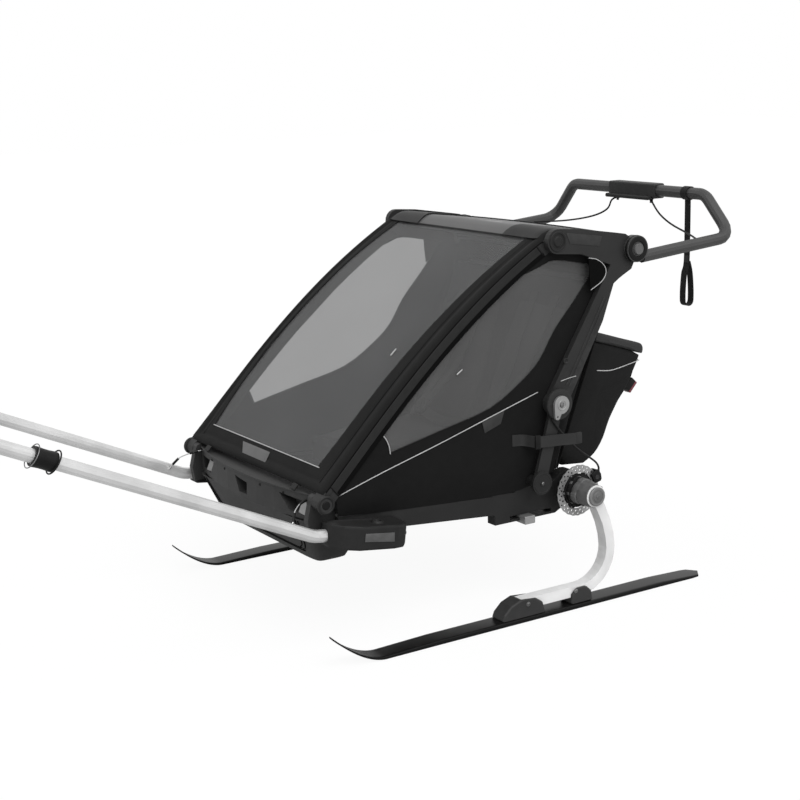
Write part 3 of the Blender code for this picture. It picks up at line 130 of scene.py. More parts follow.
def on_post(along: float, across: float) -> Vector:
    """Side-view point along the rear post from its foot, and across it towards the nose."""
    return POST_FOOT + POST_DIRECTION * along + Vector((-POST_DIRECTION.y, POST_DIRECTION.x)) * across


def nose_front(x: float) -> float:
    """Y of the bowed nose panel's face."""
    return NOSE_FRONT + NOSE_BOW * (x / NOSE_HALF) ** 2


def back_line(z: float) -> float:
    """Y of the back panel at a height."""
    share = (z - BACK_LOW.y) / (BACK_HIGH.y - BACK_LOW.y)
    return BACK_LOW.x + (BACK_HIGH.x - BACK_LOW.x) * share


def smooth_route(points: Sequence[Sequence[float]], steps: int = 4) -> list[Vector]:
    """Points of a smooth curve through given ones.

    Args:
        points: the points that the curve passes.
        steps: points made for each span.

    Returns:
        The curve's points, from the first given one to the last.
    """
    spots = [Vector(point) for point in points]
    padded = [spots[0] * 2 - spots[1], *spots, spots[-1] * 2 - spots[-2]]
    route = []
    for a, b, c, d in zip(padded, padded[1:], padded[2:], padded[3:]):
        for step in range(steps):
            t = step / steps
            route.append(0.5 * ((2 * b) + (c - a) * t + (2 * a - 5 * b + 4 * c - d) * t * t
                                + (3 * b - a - 3 * c + d) * t ** 3))
    route.append(spots[-1])
    return route


def length_of(route: Sequence[Vector]) -> float:
    """Length of a broken line."""
    return sum((b - a).length for a, b in zip(route, route[1:]))


def point_along(route: Sequence[Vector], share: float) -> Vector:
    """The point at a share of a broken line's length."""
    left = max(0.0, min(1.0, share)) * length_of(route)
    for a, b in zip(route, route[1:]):
        span = (b - a).length
        if left <= span and span > 0:
            return a.lerp(b, left / span)
        left -= span
    return route[-1].copy()


def between(value: float, pairs: Sequence[SidePoint]) -> float:
    """A value read off a table of points, with straight lines between them."""
    if value <= pairs[0][0]:
        return pairs[0][1]
    for (a, low), (b, high) in zip(pairs, pairs[1:]):
        if value <= b:
            return low + (high - low) * (value - a) / (b - a)
    return pairs[-1][1]


def eased(share: float) -> float:
    """A share from 0 to 1 with soft ends."""
    share = max(0.0, min(1.0, share))
    return share * share * (3 - 2 * share)


def squared(wave: float, power: float) -> float:
    """A sine or cosine that draws a circle as a rounded square."""
    return math.copysign(abs(wave) ** power, wave)


class Effect(Enum):
    """Shader effects that several finishes share."""

    GRAIN = "moulded_grain"
    WEAVE = "woven_threads"
    FOLDS = "soft_folds_with_painted_shade"
    BRUSH = "brushed_lines"
    # Lighter convex edges: rubbed wear and a painted edge highlight.
    WEAR = "worn_and_highlighted_edges"
    DUST = "settled_dust"


class EffectLibrary:
    """Builds each shared shader effect once, as a node group."""

    def group(self, effect: Effect) -> bpy.types.NodeTree:
        """The node group of an effect, built at its first use."""
        found = bpy.data.node_groups.get(effect.value)
        if found:
            return found
        return getattr(self, f"_{effect.name.lower()}")(effect.value)

    def _start(self, name: str, inputs: dict[str, tuple[str, float]], outputs: Sequence[str]):
        """A new group with named sockets.

        Args:
            name: the group's name.
            inputs: each input's kind and start value; "Vector" inputs take no value.
            outputs: names of its value outputs.

        Returns:
            The group, its input node and its output node.
        """
        tree = bpy.data.node_groups.new(name, "ShaderNodeTree")
        for label, (kind, value) in inputs.items():
            socket = tree.interface.new_socket(label, in_out="INPUT", socket_type=f"NodeSocket{kind}")
            if kind == "Float":
                socket.default_value = value
        for label in outputs:
            tree.interface.new_socket(label, in_out="OUTPUT", socket_type="NodeSocketFloat")
        return tree, tree.nodes.new("NodeGroupInput"), tree.nodes.new("NodeGroupOutput")

    def _maths(self, tree: bpy.types.NodeTree, operation: str, a, b=None):
        """A Math node's output from sockets or numbers."""
        node = tree.nodes.new("ShaderNodeMath")
        node.operation = operation
        for socket, value in zip(node.inputs, (a, b)):
            if value is None:
                continue
            if isinstance(value, (int, float)):
                socket.default_value = value
            else:
                tree.links.new(value, socket)
        return node.outputs[0]

    def _noise(self, tree: bpy.types.NodeTree, vector, scale, detail: float = 3.0):
        """A Noise node's value output."""
        node = tree.nodes.new("ShaderNodeTexNoise")
        node.inputs["Detail"].default_value = detail
        tree.links.new(vector, node.inputs["Vector"])
        if isinstance(scale, (int, float)):
            node.inputs["Scale"].default_value = scale
        else:
            tree.links.new(scale, node.inputs["Scale"])
        return node.outputs["Fac"]

    def _ranged(self, tree: bpy.types.NodeTree, value, start: SidePoint, end: SidePoint):
        """A Map Range node's output, clamped."""
        node = tree.nodes.new("ShaderNodeMapRange")
        tree.links.new(value, node.inputs["Value"])
        for label, number in zip(("From Min", "From Max", "To Min", "To Max"), (*start, *end)):
            node.inputs[label].default_value = number
        return node.outputs["Result"]

    def _grain(self, name: str) -> bpy.types.NodeTree:
        """Fine moulded grain with a slow change of shade."""
        tree, given, made = self._start(
            name, {"Vector": ("Vector", 0), "Scale": ("Float", 900.0)}, ("Height", "Shade"))
        fine = self._noise(tree, given.outputs["Vector"], given.outputs["Scale"])
        slow = self._noise(tree, given.outputs["Vector"], 14.0, 2.0)
        tree.links.new(fine, made.inputs["Height"])
        tree.links.new(self._ranged(tree, slow, (0.3, 0.7), (0.88, 1.12)), made.inputs["Shade"])
        return tree

    def _weave(self, name: str) -> bpy.types.NodeTree:
        """Crossing threads on a pattern in metres."""
        tree, given, made = self._start(
            name, {"Vector": ("Vector", 0), "Threads": ("Float", 700.0)}, ("Height", "Shade"))
        split = tree.nodes.new("ShaderNodeSeparateXYZ")
        tree.links.new(given.outputs["Vector"], split.inputs[0])
        waves = []
        for axis in ("X", "Y"):
            turns = self._maths(tree, "MULTIPLY", split.outputs[axis], given.outputs["Threads"])
            waves.append(self._maths(tree, "SINE", self._maths(tree, "MULTIPLY", turns, math.tau)))
        crossed = self._maths(tree, "MULTIPLY", waves[0], waves[1])
        uneven = self._noise(tree, given.outputs["Vector"], 55.0)
        height = self._maths(tree, "MULTIPLY_ADD", crossed, 0.5)
        tree.links.new(height, made.inputs["Height"])
        slow = self._ranged(tree, uneven, (0.25, 0.75), (0.90, 1.10))
        tree.links.new(self._maths(tree, "ADD", slow, self._maths(tree, "MULTIPLY", crossed, 0.03)),
                       made.inputs["Shade"])
        return tree

    def _folds(self, name: str) -> bpy.types.NodeTree:
        """Shallow folds and hollows of stretched cloth, with a painted shade: darker in the hollows, lighter
        on the crests.
        """
        tree, given, made = self._start(
            name, {"Vector": ("Vector", 0), "Scale": ("Float", 9.0)}, ("Height", "Shade"))
        slow = self._noise(tree, given.outputs["Vector"], given.outputs["Scale"], 2.0)
        tree.links.new(slow, made.inputs["Height"])
        tree.links.new(self._ranged(tree, slow, (0.3, 0.7), (0.92, 1.08)), made.inputs["Shade"])
        return tree

    def _brush(self, name: str) -> bpy.types.NodeTree:
        """Long fine lines, as drawn or brushed metal has."""
        tree, given, made = self._start(
            name, {"Vector": ("Vector", 0), "Scale": ("Float", 700.0)}, ("Height", "Streak"))
        stretch = tree.nodes.new("ShaderNodeMapping")
        stretch.inputs["Scale"].default_value = (1.0, 0.03, 1.0)
        tree.links.new(given.outputs["Vector"], stretch.inputs["Vector"])
        lines = self._noise(tree, stretch.outputs[0], given.outputs["Scale"], 2.0)
        tree.links.new(lines, made.inputs["Height"])
        tree.links.new(self._ranged(tree, lines, (0.3, 0.7), (0.0, 1.0)), made.inputs["Streak"])
        return tree

    def _wear(self, name: str) -> bpy.types.NodeTree:
        """Rubbed outer edges with a painted edge highlight, uneven along their length."""
        tree, given, made = self._start(
            name, {"Vector": ("Vector", 0), "Strength": ("Float", 0.5)}, ("Mask",))
        geometry = tree.nodes.new("ShaderNodeNewGeometry")
        edge = self._ranged(tree, geometry.outputs["Pointiness"], (0.52, 0.62), (0.0, 1.0))
        uneven = self._ranged(tree, self._noise(tree, given.outputs["Vector"], 60.0), (0.4, 0.6), (0.2, 1.0))
        edge_lightened = self._maths(tree, "MULTIPLY", edge, uneven)
        tree.links.new(self._maths(tree, "MULTIPLY", edge_lightened, given.outputs["Strength"]), made.inputs["Mask"])
        return tree

    def _dust(self, name: str) -> bpy.types.NodeTree:
        """A faint film of dust on faces that look up."""
        tree, given, made = self._start(
            name, {"Vector": ("Vector", 0), "Amount": ("Float", 0.1)}, ("Mask",))
        geometry = tree.nodes.new("ShaderNodeNewGeometry")
        split = tree.nodes.new("ShaderNodeSeparateXYZ")
        tree.links.new(geometry.outputs["Normal"], split.inputs[0])
        up = self._ranged(tree, split.outputs["Z"], (0.2, 1.0), (0.0, 1.0))
        cloudy = self._noise(tree, given.outputs["Vector"], 18.0, 4.0)
        patchy = self._ranged(tree, cloudy, (0.35, 0.7), (0.2, 1.0))
        laid = self._maths(tree, "MULTIPLY", up, patchy)
        tree.links.new(self._maths(tree, "MULTIPLY", laid, given.outputs["Amount"]), made.inputs["Mask"])
        return tree


EFFECTS = EffectLibrary()


class Pattern(Enum):
    """What a finish's pattern follows."""

    OBJECT = "Object"
    CUT = "UV"


class MaterialSheet:
    """One material being laid out: its tree, its shader and the wiring of effects into them."""

    def __init__(self, name: str, colour: Point, roughness: float, pattern: Pattern) -> None:
        """Start a material with a plain Principled shader.

        Args:
            name: the material's name.
            colour: linear base colour.
            roughness: how matt it is.
            pattern: what its pattern follows.
        """
        self.material = bpy.data.materials.new(name)
        self.material.use_nodes = True
        self.tree = self.material.node_tree
        self.shader = self.tree.nodes["Principled BSDF"]
        self.shader.inputs["Base Color"].default_value = (*colour, 1.0)
        self.shader.inputs["Roughness"].default_value = roughness
        coordinates = self.tree.nodes.new("ShaderNodeTexCoord")
        self.vector = coordinates.outputs[pattern.value]
        self.colour: bpy.types.NodeSocket | None = None
        self.height: bpy.types.NodeSocket | None = None

    def set(self, **values: float) -> None:
        """Write plain numbers on the shader's own sockets, with _ for a space in their names."""
        for label, value in values.items():
            self.shader.inputs[label.replace("_", " ")].default_value = value

    def effect(self, effect: Effect, **values: float) -> bpy.types.Node:
        """A shared effect's group node, fed with the pattern's vector."""
        node = self.tree.nodes.new("ShaderNodeGroup")
        node.node_tree = EFFECTS.group(effect)
        self.tree.links.new(self.vector, node.inputs["Vector"])
        for label, value in values.items():
            node.inputs[label].default_value = value
        return node

    def shade(self, socket: bpy.types.NodeSocket) -> None:
        """Multiply the base colour by a slowly changing shade."""
        node = self.tree.nodes.new("ShaderNodeVectorMath")
        node.operation = "SCALE"
        if self.colour is None:
            node.inputs[0].default_value = self.shader.inputs["Base Color"].default_value[:3]
        else:
            self.tree.links.new(self.colour, node.inputs[0])
        self.tree.links.new(socket, node.inputs["Scale"])
        self.colour = node.outputs[0]

    def tint(self, mask: bpy.types.NodeSocket, colour: Point) -> None:
        """Mix another colour in where a mask says."""
        node = self.tree.nodes.new("ShaderNodeMix")
        node.data_type = "RGBA"
        self.tree.links.new(mask, node.inputs[0])
        if self.colour is None:
            node.inputs[6].default_value = self.shader.inputs["Base Color"].default_value
        else:
            self.tree.links.new(self.colour, node.inputs[6])
        node.inputs[7].default_value = (*colour, 1.0)
        self.colour = node.outputs[2]

    def vary(self, label: str, socket: bpy.types.NodeSocket, low: float, high: float) -> None:
        """Drive one of the shader's values by a mask, from low to high."""
        node = self.tree.nodes.new("ShaderNodeMapRange")
        node.inputs["To Min"].default_value = low
        node.inputs["To Max"].default_value = high
        self.tree.links.new(socket, node.inputs["Value"])
        self.tree.links.new(node.outputs["Result"], self.shader.inputs[label])

    def bump(self, socket: bpy.types.NodeSocket, depth: float, strength: float = 1.0) -> None:
        """Add relief of a depth in metres."""
        node = self.tree.nodes.new("ShaderNodeBump")
        node.inputs["Strength"].default_value = strength
        node.inputs["Distance"].default_value = depth
        self.tree.links.new(socket, node.inputs["Height"])
        if self.height is not None:
            self.tree.links.new(self.height, node.inputs["Normal"])
        self.height = node.outputs["Normal"]

    def done(self) -> bpy.types.Material:
        """Join the colour and the relief to the shader and return the material."""
        if self.colour is not None:
            self.tree.links.new(self.colour, self.shader.inputs["Base Color"])
        if self.height is not None:
            self.tree.links.new(self.height, self.shader.inputs["Normal"])
        return self.material


@dataclass(frozen=True)
class Finish:
    """A named finish. Subclasses say how it is dressed."""

    name: str
    colour: Point
    roughness: float = 0.5
    slot: str = "black_plastic"

    def material(self) -> bpy.types.Material:
        """The finish's material, made at its first use."""
        return bpy.data.materials.get(self.name) or self.make()

    def make(self) -> bpy.types.Material:
        """A material with a slow change of shade alone."""
        sheet = MaterialSheet(self.name, self.colour, self.roughness, Pattern.OBJECT)
        sheet.shade(sheet.effect(Effect.GRAIN).outputs["Shade"])
        return sheet.done()


@dataclass(frozen=True)
class MouldedPlastic(Finish):
    """Grained plastic with rubbed edges that carry a painted highlight, and a little dust."""

    grain: float = 0.00006
    gloss: float = 0.22
    wear: float = 0.5

    def make(self) -> bpy.types.Material:
        """Grain, worn edges with a painted edge highlight, dust and uneven gloss."""
        sheet = MaterialSheet(self.name, self.colour, self.roughness, Pattern.OBJECT)
        sheet.set(Specular_IOR_Level=self.gloss)
        grain = sheet.effect(Effect.GRAIN, Scale=1100.0)
        sheet.shade(grain.outputs["Shade"])
        # Lighter convex edges: rubbed wear and a painted edge highlight.
        edge_lightened = tuple(channel * 1.8 + 0.008 for channel in self.colour)
        sheet.tint(sheet.effect(Effect.WEAR, Strength=self.wear).outputs["Mask"], edge_lightened)
        sheet.tint(sheet.effect(Effect.DUST, Amount=0.035).outputs["Mask"], grey(120, -0.03))
        sheet.vary("Roughness", grain.outputs["Height"], self.roughness - 0.07, self.roughness + 0.07)
        sheet.bump(grain.outputs["Height"], self.grain, 0.6)
        return sheet.done()


@dataclass(frozen=True)
class WovenCloth(Finish):
    """Woven polyester with threads, soft folds and a faint sheen."""

    threads: float = 650.0
    folds: float = 0.0012
    sheen: float = 0.02
    relief: float = 0.00012
    pattern: Pattern = Pattern.CUT

    def make(self) -> bpy.types.Material:
        """Threads and folds in relief, with an uneven shade and a painted shade of the folds."""
        sheet = MaterialSheet(self.name, self.colour, self.roughness, self.pattern)
        sheet.set(Specular_IOR_Level=0.10, Sheen_Weight=self.sheen, Sheen_Roughness=0.5)
        weave = sheet.effect(Effect.WEAVE, Threads=self.threads)
        folds = sheet.effect(Effect.FOLDS, Scale=8.0)
        sheet.shade(weave.outputs["Shade"])
        # Painted shade: the folds' hollows darker and their crests lighter.
        sheet.shade(folds.outputs["Shade"])
        sheet.tint(sheet.effect(Effect.DUST, Amount=0.03).outputs["Mask"], grey(110, -0.03))
        sheet.bump(folds.outputs["Height"], self.folds, 0.8)
        sheet.bump(weave.outputs["Height"], self.relief, 0.5)
        return sheet.done()


@dataclass(frozen=True)
class TintedFilm(Finish):
    """See-through tinted film with a fine mesh in it."""

    cover: float = 0.53
    slot: str = "window_film"

    def make(self) -> bpy.types.Material:
        """Alpha that follows the mesh's threads, and a painted shade of the folds."""
        sheet = MaterialSheet(self.name, self.colour, self.roughness, Pattern.CUT)
        sheet.set(Specular_IOR_Level=0.30)
        weave = sheet.effect(Effect.WEAVE, Threads=420.0)
        folds = sheet.effect(Effect.FOLDS, Scale=5.0)
        # Painted shade: the folds' hollows darker and their crests lighter.
        sheet.shade(folds.outputs["Shade"])
        sheet.vary("Alpha", weave.outputs["Height"], self.cover - 0.004, self.cover + 0.004)
        sheet.bump(folds.outputs["Height"], 0.0010, 0.5)
        return sheet.done()


@dataclass(frozen=True)
class DrawnMetal(Finish):
    """Bare or anodised metal with fine lines along it."""

    metallic: float = 1.0
    lines: float = 0.00002

    def make(self) -> bpy.types.Material:
        """Brushed lines in relief and gloss, with a few dull patches."""
        sheet = MaterialSheet(self.name, self.colour, self.roughness, Pattern.OBJECT)
        sheet.set(Metallic=self.metallic)
        brush = sheet.effect(Effect.BRUSH)
        grain = sheet.effect(Effect.GRAIN, Scale=500.0)
        sheet.shade(grain.outputs["Shade"])
        sheet.vary("Roughness", brush.outputs["Streak"], self.roughness - 0.05, self.roughness + 0.08)
        sheet.bump(brush.outputs["Height"], self.lines, 0.5)
        return sheet.done()


@dataclass(frozen=True)
class CoatedMetal(Finish):
    """Matt coated tube with a fine texture and rubbed edges that carry a painted highlight."""

    def make(self) -> bpy.types.Material:
        """A fine satin texture under a thin coat."""
        sheet = MaterialSheet(self.name, self.colour, self.roughness, Pattern.OBJECT)
        sheet.set(Specular_IOR_Level=0.4, Coat_Roughness=0.45)
        grain = sheet.effect(Effect.GRAIN, Scale=1600.0)
        sheet.shade(grain.outputs["Shade"])
        # Lighter convex edges: rubbed wear and a painted edge highlight.
        edge_lightened = tuple(channel * 1.5 + 0.01 for channel in self.colour)
        sheet.tint(sheet.effect(Effect.WEAR, Strength=0.4).outputs["Mask"], edge_lightened)
        sheet.vary("Roughness", grain.outputs["Height"], self.roughness - 0.06, self.roughness + 0.06)
        sheet.bump(grain.outputs["Height"], 0.00004, 0.5)
        return sheet.done()


@dataclass(frozen=True)
class Webbing(Finish):
    """Ribbed woven strap."""

    slot: str = "black_fabric"

    def make(self) -> bpy.types.Material:
        """Coarse ribs along the strap's own pattern."""
        sheet = MaterialSheet(self.name, self.colour, self.roughness, Pattern.CUT)
        sheet.set(Specular_IOR_Level=0.2, Sheen_Weight=0.08, Sheen_Roughness=0.5)
        weave = sheet.effect(Effect.WEAVE, Threads=330.0)
        sheet.shade(weave.outputs["Shade"])
        sheet.bump(weave.outputs["Height"], 0.00035, 0.8)
        return sheet.done()


MATT_BLACK = MouldedPlastic("matt_black_plastic", grey(26), 0.55, "black_plastic")
RAIL_BLACK = MouldedPlastic("rail_black", grey(31), 0.5, "black_plastic")
DEEP_BLACK = MouldedPlastic("deep_black_plastic", grey(10), 0.5, "black_plastic", gloss=0.18)
DARK_GREY = MouldedPlastic("dark_grey_plastic", grey(38), 0.55, "grey_plastic")
SLATE = MouldedPlastic("slate_plastic", grey(46), 0.55, "grey_plastic")
BUTTON_GREY = MouldedPlastic("button_grey", grey(92), 0.5, "grey_plastic", wear=0.2)
LABEL_GREY = MouldedPlastic("bare_label", grey(92), 0.6, "grey_plastic", grain=0.00002, wear=0.1)
SIDE_CLOTH = WovenCloth("side_cloth", grey(20), 0.85, "black_fabric")
EDGE_CLOTH = WovenCloth("edge_cloth", grey(20), 0.8, "black_fabric", folds=0.0006)
# Near-black cloth for dark seams, and for painted shadow in gaps, recesses and grooves.
SHADOW_CLOTH = WovenCloth("shadow_cloth", grey(5), 0.95, "black_fabric", folds=0.0002, sheen=0.0)
SLEEVE_CLOTH = WovenCloth("sleeve_cloth", grey(38), 0.75, "black_fabric", folds=0.0010)
BAG_CLOTH = WovenCloth("bag_cloth", grey(27), 0.85, "black_fabric", folds=0.0020)
LID_CLOTH = WovenCloth("lid_cloth", grey(56), 0.8, "black_fabric", folds=0.0020)
SEAT_CLOTH = WovenCloth("seat_cloth", grey(62), 0.9, "black_fabric", threads=90.0, folds=0.0015,
                        relief=0.00002, pattern=Pattern.OBJECT)
SEAT_TRIM = WovenCloth("seat_trim", grey(40), 0.9, "black_fabric", folds=0.0010, pattern=Pattern.OBJECT)
COVER_FILM = TintedFilm("cover_film", grey(99, 0.01), 0.42)
SIDE_FILM = TintedFilm("side_film", grey(101), 0.45, cover=0.55)
ROOF_FILM = TintedFilm("roof_film", grey(93), 0.45, cover=0.84)
PIPING = Finish("reflective_piping", grey(176), 0.4, "grey_plastic")
LIGHT_REFLECTOR = MouldedPlastic("pale_reflector", grey(128), 0.3, "grey_plastic", grain=0.00010, gloss=0.6)
DIM_REFLECTOR = MouldedPlastic("dim_reflector", grey(74), 0.35, "grey_plastic", grain=0.00010, gloss=0.3)
RED_REFLECTOR = MouldedPlastic("red_reflector", (0.10, 0.012, 0.020), 0.3, "grey_plastic", gloss=0.6)
BRIGHT_TUBE = DrawnMetal("drawn_aluminium", grey(206), 0.34, "silver_metal", metallic=0.55)
SATIN_ARM = DrawnMetal("satin_aluminium", grey(222), 0.50, "silver_metal", metallic=0.10)
DISC_STEEL = DrawnMetal("disc_steel", grey(178), 0.38, "steel")
BOLT_STEEL = DrawnMetal("bolt_steel", grey(120), 0.40, "steel")
WIRE_STEEL = DrawnMetal("wire_steel", grey(190), 0.30, "steel")
CAST_GREY = DrawnMetal("cast_grey_metal", grey(150), 0.50, "cast_grey", metallic=0.7, lines=0.00004)
CLAW_GREY = DrawnMetal("claw_grey", grey(98), 0.55, "cast_grey", metallic=0.4, lines=0.00004)
KNOB_GREY = DrawnMetal("knob_grey", grey(118), 0.45, "cast_grey", metallic=0.5, lines=0.00003)
BAND_RUBBER = MouldedPlastic("band_rubber", grey(40), 0.6, "rubber", grain=0.00010, wear=0.1)
LEVER_GREY = DrawnMetal("lever_grey", grey(150), 0.50, "cast_grey", metallic=0.6, lines=0.00004)
BLACK_METAL = CoatedMetal("black_metal_coat", grey(30), 0.45, "black_metal")
BAR_COAT = CoatedMetal("push_bar_coat", grey(56), 0.50, "black_metal")
CABLE_RUBBER = MouldedPlastic("cable_rubber", grey(18), 0.5, "rubber", grain=0.00003, wear=0.1)
# Its strong edge setting paints a light highlight line along the ski's edges.
SKI_TOP = MouldedPlastic("ski_top", grey(6), 0.35, "ski_black", grain=0.00001, gloss=0.18, wear=0.9)
STRAP_WEBBING = Webbing("strap_webbing", grey(18), 0.85)
HARNESS_WEBBING = Webbing("harness_webbing", grey(52), 0.85)


def deselect() -> None:
    """Leave nothing selected, in object mode."""
    if bpy.context.object and bpy.context.object.mode != "OBJECT":
        bpy.ops.object.mode_set(mode="OBJECT")
    bpy.ops.object.select_all(action="DESELECT")


def pick(piece: bpy.types.Object) -> None:
    """Select one object alone and make it active."""
    deselect()
    piece.select_set(True)
    bpy.context.view_layer.objects.active = piece


def tidy_faces(piece: bpy.types.Object) -> None:
    """Merge doubled vertices and turn every face outwards."""
    pick(piece)
    bpy.ops.object.mode_set(mode="EDIT")
    bpy.ops.mesh.select_all(action="SELECT")
    bpy.ops.mesh.remove_doubles(threshold=MERGE_DISTANCE)
    bpy.ops.mesh.normals_make_consistent(inside=False)
    bpy.ops.object.mode_set(mode="OBJECT")


def apply_modifier(piece: bpy.types.Object, kind: str, **settings) -> None:
    """Add one modifier with its settings and apply it."""
    pick(piece)
    modifier = piece.modifiers.new(kind.lower(), kind)
    for label, value in settings.items():
        setattr(modifier, label, value)
    bpy.ops.object.modifier_apply(modifier=modifier.name)


def smooth(piece: bpy.types.Object, degrees: float = 40) -> None:
    """Smooth shading, with edges sharper than an angle kept."""
    pick(piece)
    bpy.ops.object.shade_smooth_by_angle(angle=math.radians(degrees))


def thicken(piece: bpy.types.Object, thickness: float, degrees: float = 60) -> None:
    """Give a sheet a thickness, half to each side, and smooth it."""
    apply_modifier(piece, "SOLIDIFY", thickness=thickness, offset=0.0)
    smooth(piece, degrees)


def round_edges(piece: bpy.types.Object, width: float, above: float, segments: int = 2) -> None:
    """Round the edges that are sharper than an angle in degrees."""
    apply_modifier(piece, "BEVEL", width=width, segments=segments, limit_method="ANGLE",
                   angle_limit=math.radians(above))


def mapped_sheet(name: str, columns: int, rows: int, place: Place, cut: SidePoint = (1.0, 1.0),
                 closed: bool = False) -> bpy.types.Object:
    """A grid laid on a surface, with a pattern in metres.

    Args:
        name: the piece's name.
        columns: faces across.
        rows: faces along.
        place: gives the place of a point from its two shares.
        cut: width and length of the pattern in metres.
        closed: whether its ends meet and are merged.

    Returns:
        The new object.
    """
    deselect()
    bpy.ops.mesh.primitive_grid_add(x_subdivisions=columns, y_subdivisions=rows, size=1.0, calc_uvs=True)
    piece = bpy.context.object
    piece.name = name
    piece.data.name = name
    shares = [(vertex.co.x + 0.5, vertex.co.y + 0.5) for vertex in piece.data.vertices]
    for vertex, (across, along) in zip(piece.data.vertices, shares):
        vertex.co = at(*place(across, along))
    pattern = piece.data.uv_layers.active.data
    for loop in piece.data.loops:
        across, along = shares[loop.vertex_index]
        pattern[loop.index].uv = (across * cut[0], along * cut[1])
    if closed:
        tidy_faces(piece)
    return piece


def plate(name: str, outline: Sequence[SidePoint], low: float, high: float,
          rounding: float = 0.0, segments: int = 2) -> bpy.types.Object:
    """A side-view outline with a thickness along X.

    Args:
        name: the piece's name.
        outline: its side-view points.
        low: X of one face.
        high: X of the other face.
        rounding: radius of its edges.
        segments: steps of the rounding.

    Returns:
        The new object.
    """
    deselect()
    bpy.ops.mesh.primitive_circle_add(vertices=len(outline), fill_type="NGON")
    piece = bpy.context.object
    piece.name = name
    piece.data.name = name
    for vertex, (y, z) in zip(piece.data.vertices, outline):
        vertex.co = at(low, y, z)
    bpy.ops.object.mode_set(mode="EDIT")
    bpy.ops.mesh.select_all(action="SELECT")
    bpy.ops.mesh.extrude_region_move(TRANSFORM_OT_translate={"value": (high - low, 0, 0)})
    bpy.ops.mesh.select_all(action="SELECT")
    bpy.ops.mesh.normals_make_consistent(inside=False)
    bpy.ops.object.mode_set(mode="OBJECT")
    if rounding:
        round_edges(piece, rounding, 30, segments)
    smooth(piece, 35)
    return piece


def turned(name: str, centre: Point, axis: Sequence[float], profile: Sequence[SidePoint],
           sides: int = 32) -> bpy.types.Object:
    """A profile turned round an axis.

    Args:
        name: the piece's name.
        centre: a point on the axis.
        axis: the axis's direction.
        profile: distances along the axis with their radii.
        sides: faces round it.

    Returns:
        The new object.
    """
    direction = Vector(axis).normalized()
    across = direction.orthogonal().normalized()
    upward = direction.cross(across)
    spots = [Vector(spot) for spot in profile]
    count = len(spots) - 1

    def place(turn: float, share: float) -> Point:
        spot = spots[round(share * count)]
        angle = math.tau * turn
        rim = across * math.cos(angle) + upward * math.sin(angle)
        return tuple(Vector(centre) + direction * spot.x + rim * spot.y)

    piece = mapped_sheet(name, sides, count, place, (0.1, 0.1), closed=True)
    smooth(piece, 35)
    return piece


def tube(name: str, route: Sequence[Sequence[float]], radius: float, closed: bool = False,
         resolution: int = 3) -> bpy.types.Object:
    """A round bead, wire or cord along a route.

    Args:
        name: the piece's name.
        route: the points that it follows.
        radius: its radius.
        closed: whether it is a ring.
        resolution: roundness of its section.

    Returns:
        The new object, a mesh.
    """
    curve = bpy.data.curves.new(name, "CURVE")
    curve.dimensions = "3D"
    spline = curve.splines.new("POLY")
    spline.points.add(len(route) - 1)
    for spot, point in zip(spline.points, route):
        spot.co = (*at(*point), 1.0)
    spline.use_cyclic_u = closed
    curve.bevel_depth = radius
    curve.bevel_resolution = resolution
    curve.use_fill_caps = True
    piece = bpy.data.objects.new(name, curve)
    bpy.context.scene.collection.objects.link(piece)
    pick(piece)
    bpy.ops.object.convert(target="MESH")
    piece = bpy.context.object
    smooth(piece, 60)
    return piece


def ribbon(name: str, route: Sequence[Vector], across: Vector, width: float, thickness: float,
           rows: int = 48) -> bpy.types.Object:
    """A flat strap along a route.

    Args:
        name: the piece's name.
        route: the points of its middle line.
        across: direction of its width.
        width: its width.
        thickness: its thickness.
        rows: steps along it.

    Returns:
        The new object.
    """
    side = Vector(across).normalized()

    def place(share_across: float, share_along: float) -> Point:
        return tuple(point_along(route, share_along) + side * width * (share_across - 0.5))

    piece = mapped_sheet(name, 4, rows, place, (width, length_of(route)))
    thicken(piece, thickness, 50)
    return piece


def polar_sheet(name: str, centre: SidePoint, inner: Sequence[SidePoint] | None, outer: Sequence[SidePoint],
                across: Callable[[float, float, float], float], rings: int = 6) -> bpy.types.Object:
    """A side-view sheet between two outlines, or inside one, built in rings round a centre.

    Args:
        name: the piece's name.
        centre: side-view point that both outlines surround.
        inner: the hole's outline, or None for a full sheet.
        outer: the outer outline.
        across: gives X from a point's y, its z and its share from the inner edge to the outer one.
        rings: faces between the two edges.

    Returns:
        The new object.
    """
    middle = Vector(centre)
    outlines = [outline for outline in (inner, outer) if outline]
    angles = {round(math.atan2(z - middle.y, y - middle.x) % math.tau, 5)
              for outline in outlines for y, z in outline}
    angles |= {round(math.tau * step / 90, 5) for step in range(90)}
    ordered = sorted(angles)
    rim = [_ray_to(middle, angle, outer) for angle in ordered]
    hole = [_ray_to(middle, angle, inner) if inner else 0.0 for angle in ordered]
    count = len(ordered)

    def place(share_round: float, share_out: float) -> Point:
        index = round(share_round * count) % count
        reach = hole[index] + (rim[index] - hole[index]) * share_out
        y = middle.x + math.cos(ordered[index]) * reach
        z = middle.y + math.sin(ordered[index]) * reach
        return across(y, z, share_out), y, z

    piece = mapped_sheet(name, count, rings, place, (1.0, 1.0), closed=True)
    pattern = piece.data.uv_layers.active.data
    for loop in piece.data.loops:
        spot = piece.data.vertices[loop.vertex_index].co
        pattern[loop.index].uv = (spot.y, spot.z)
    return piece


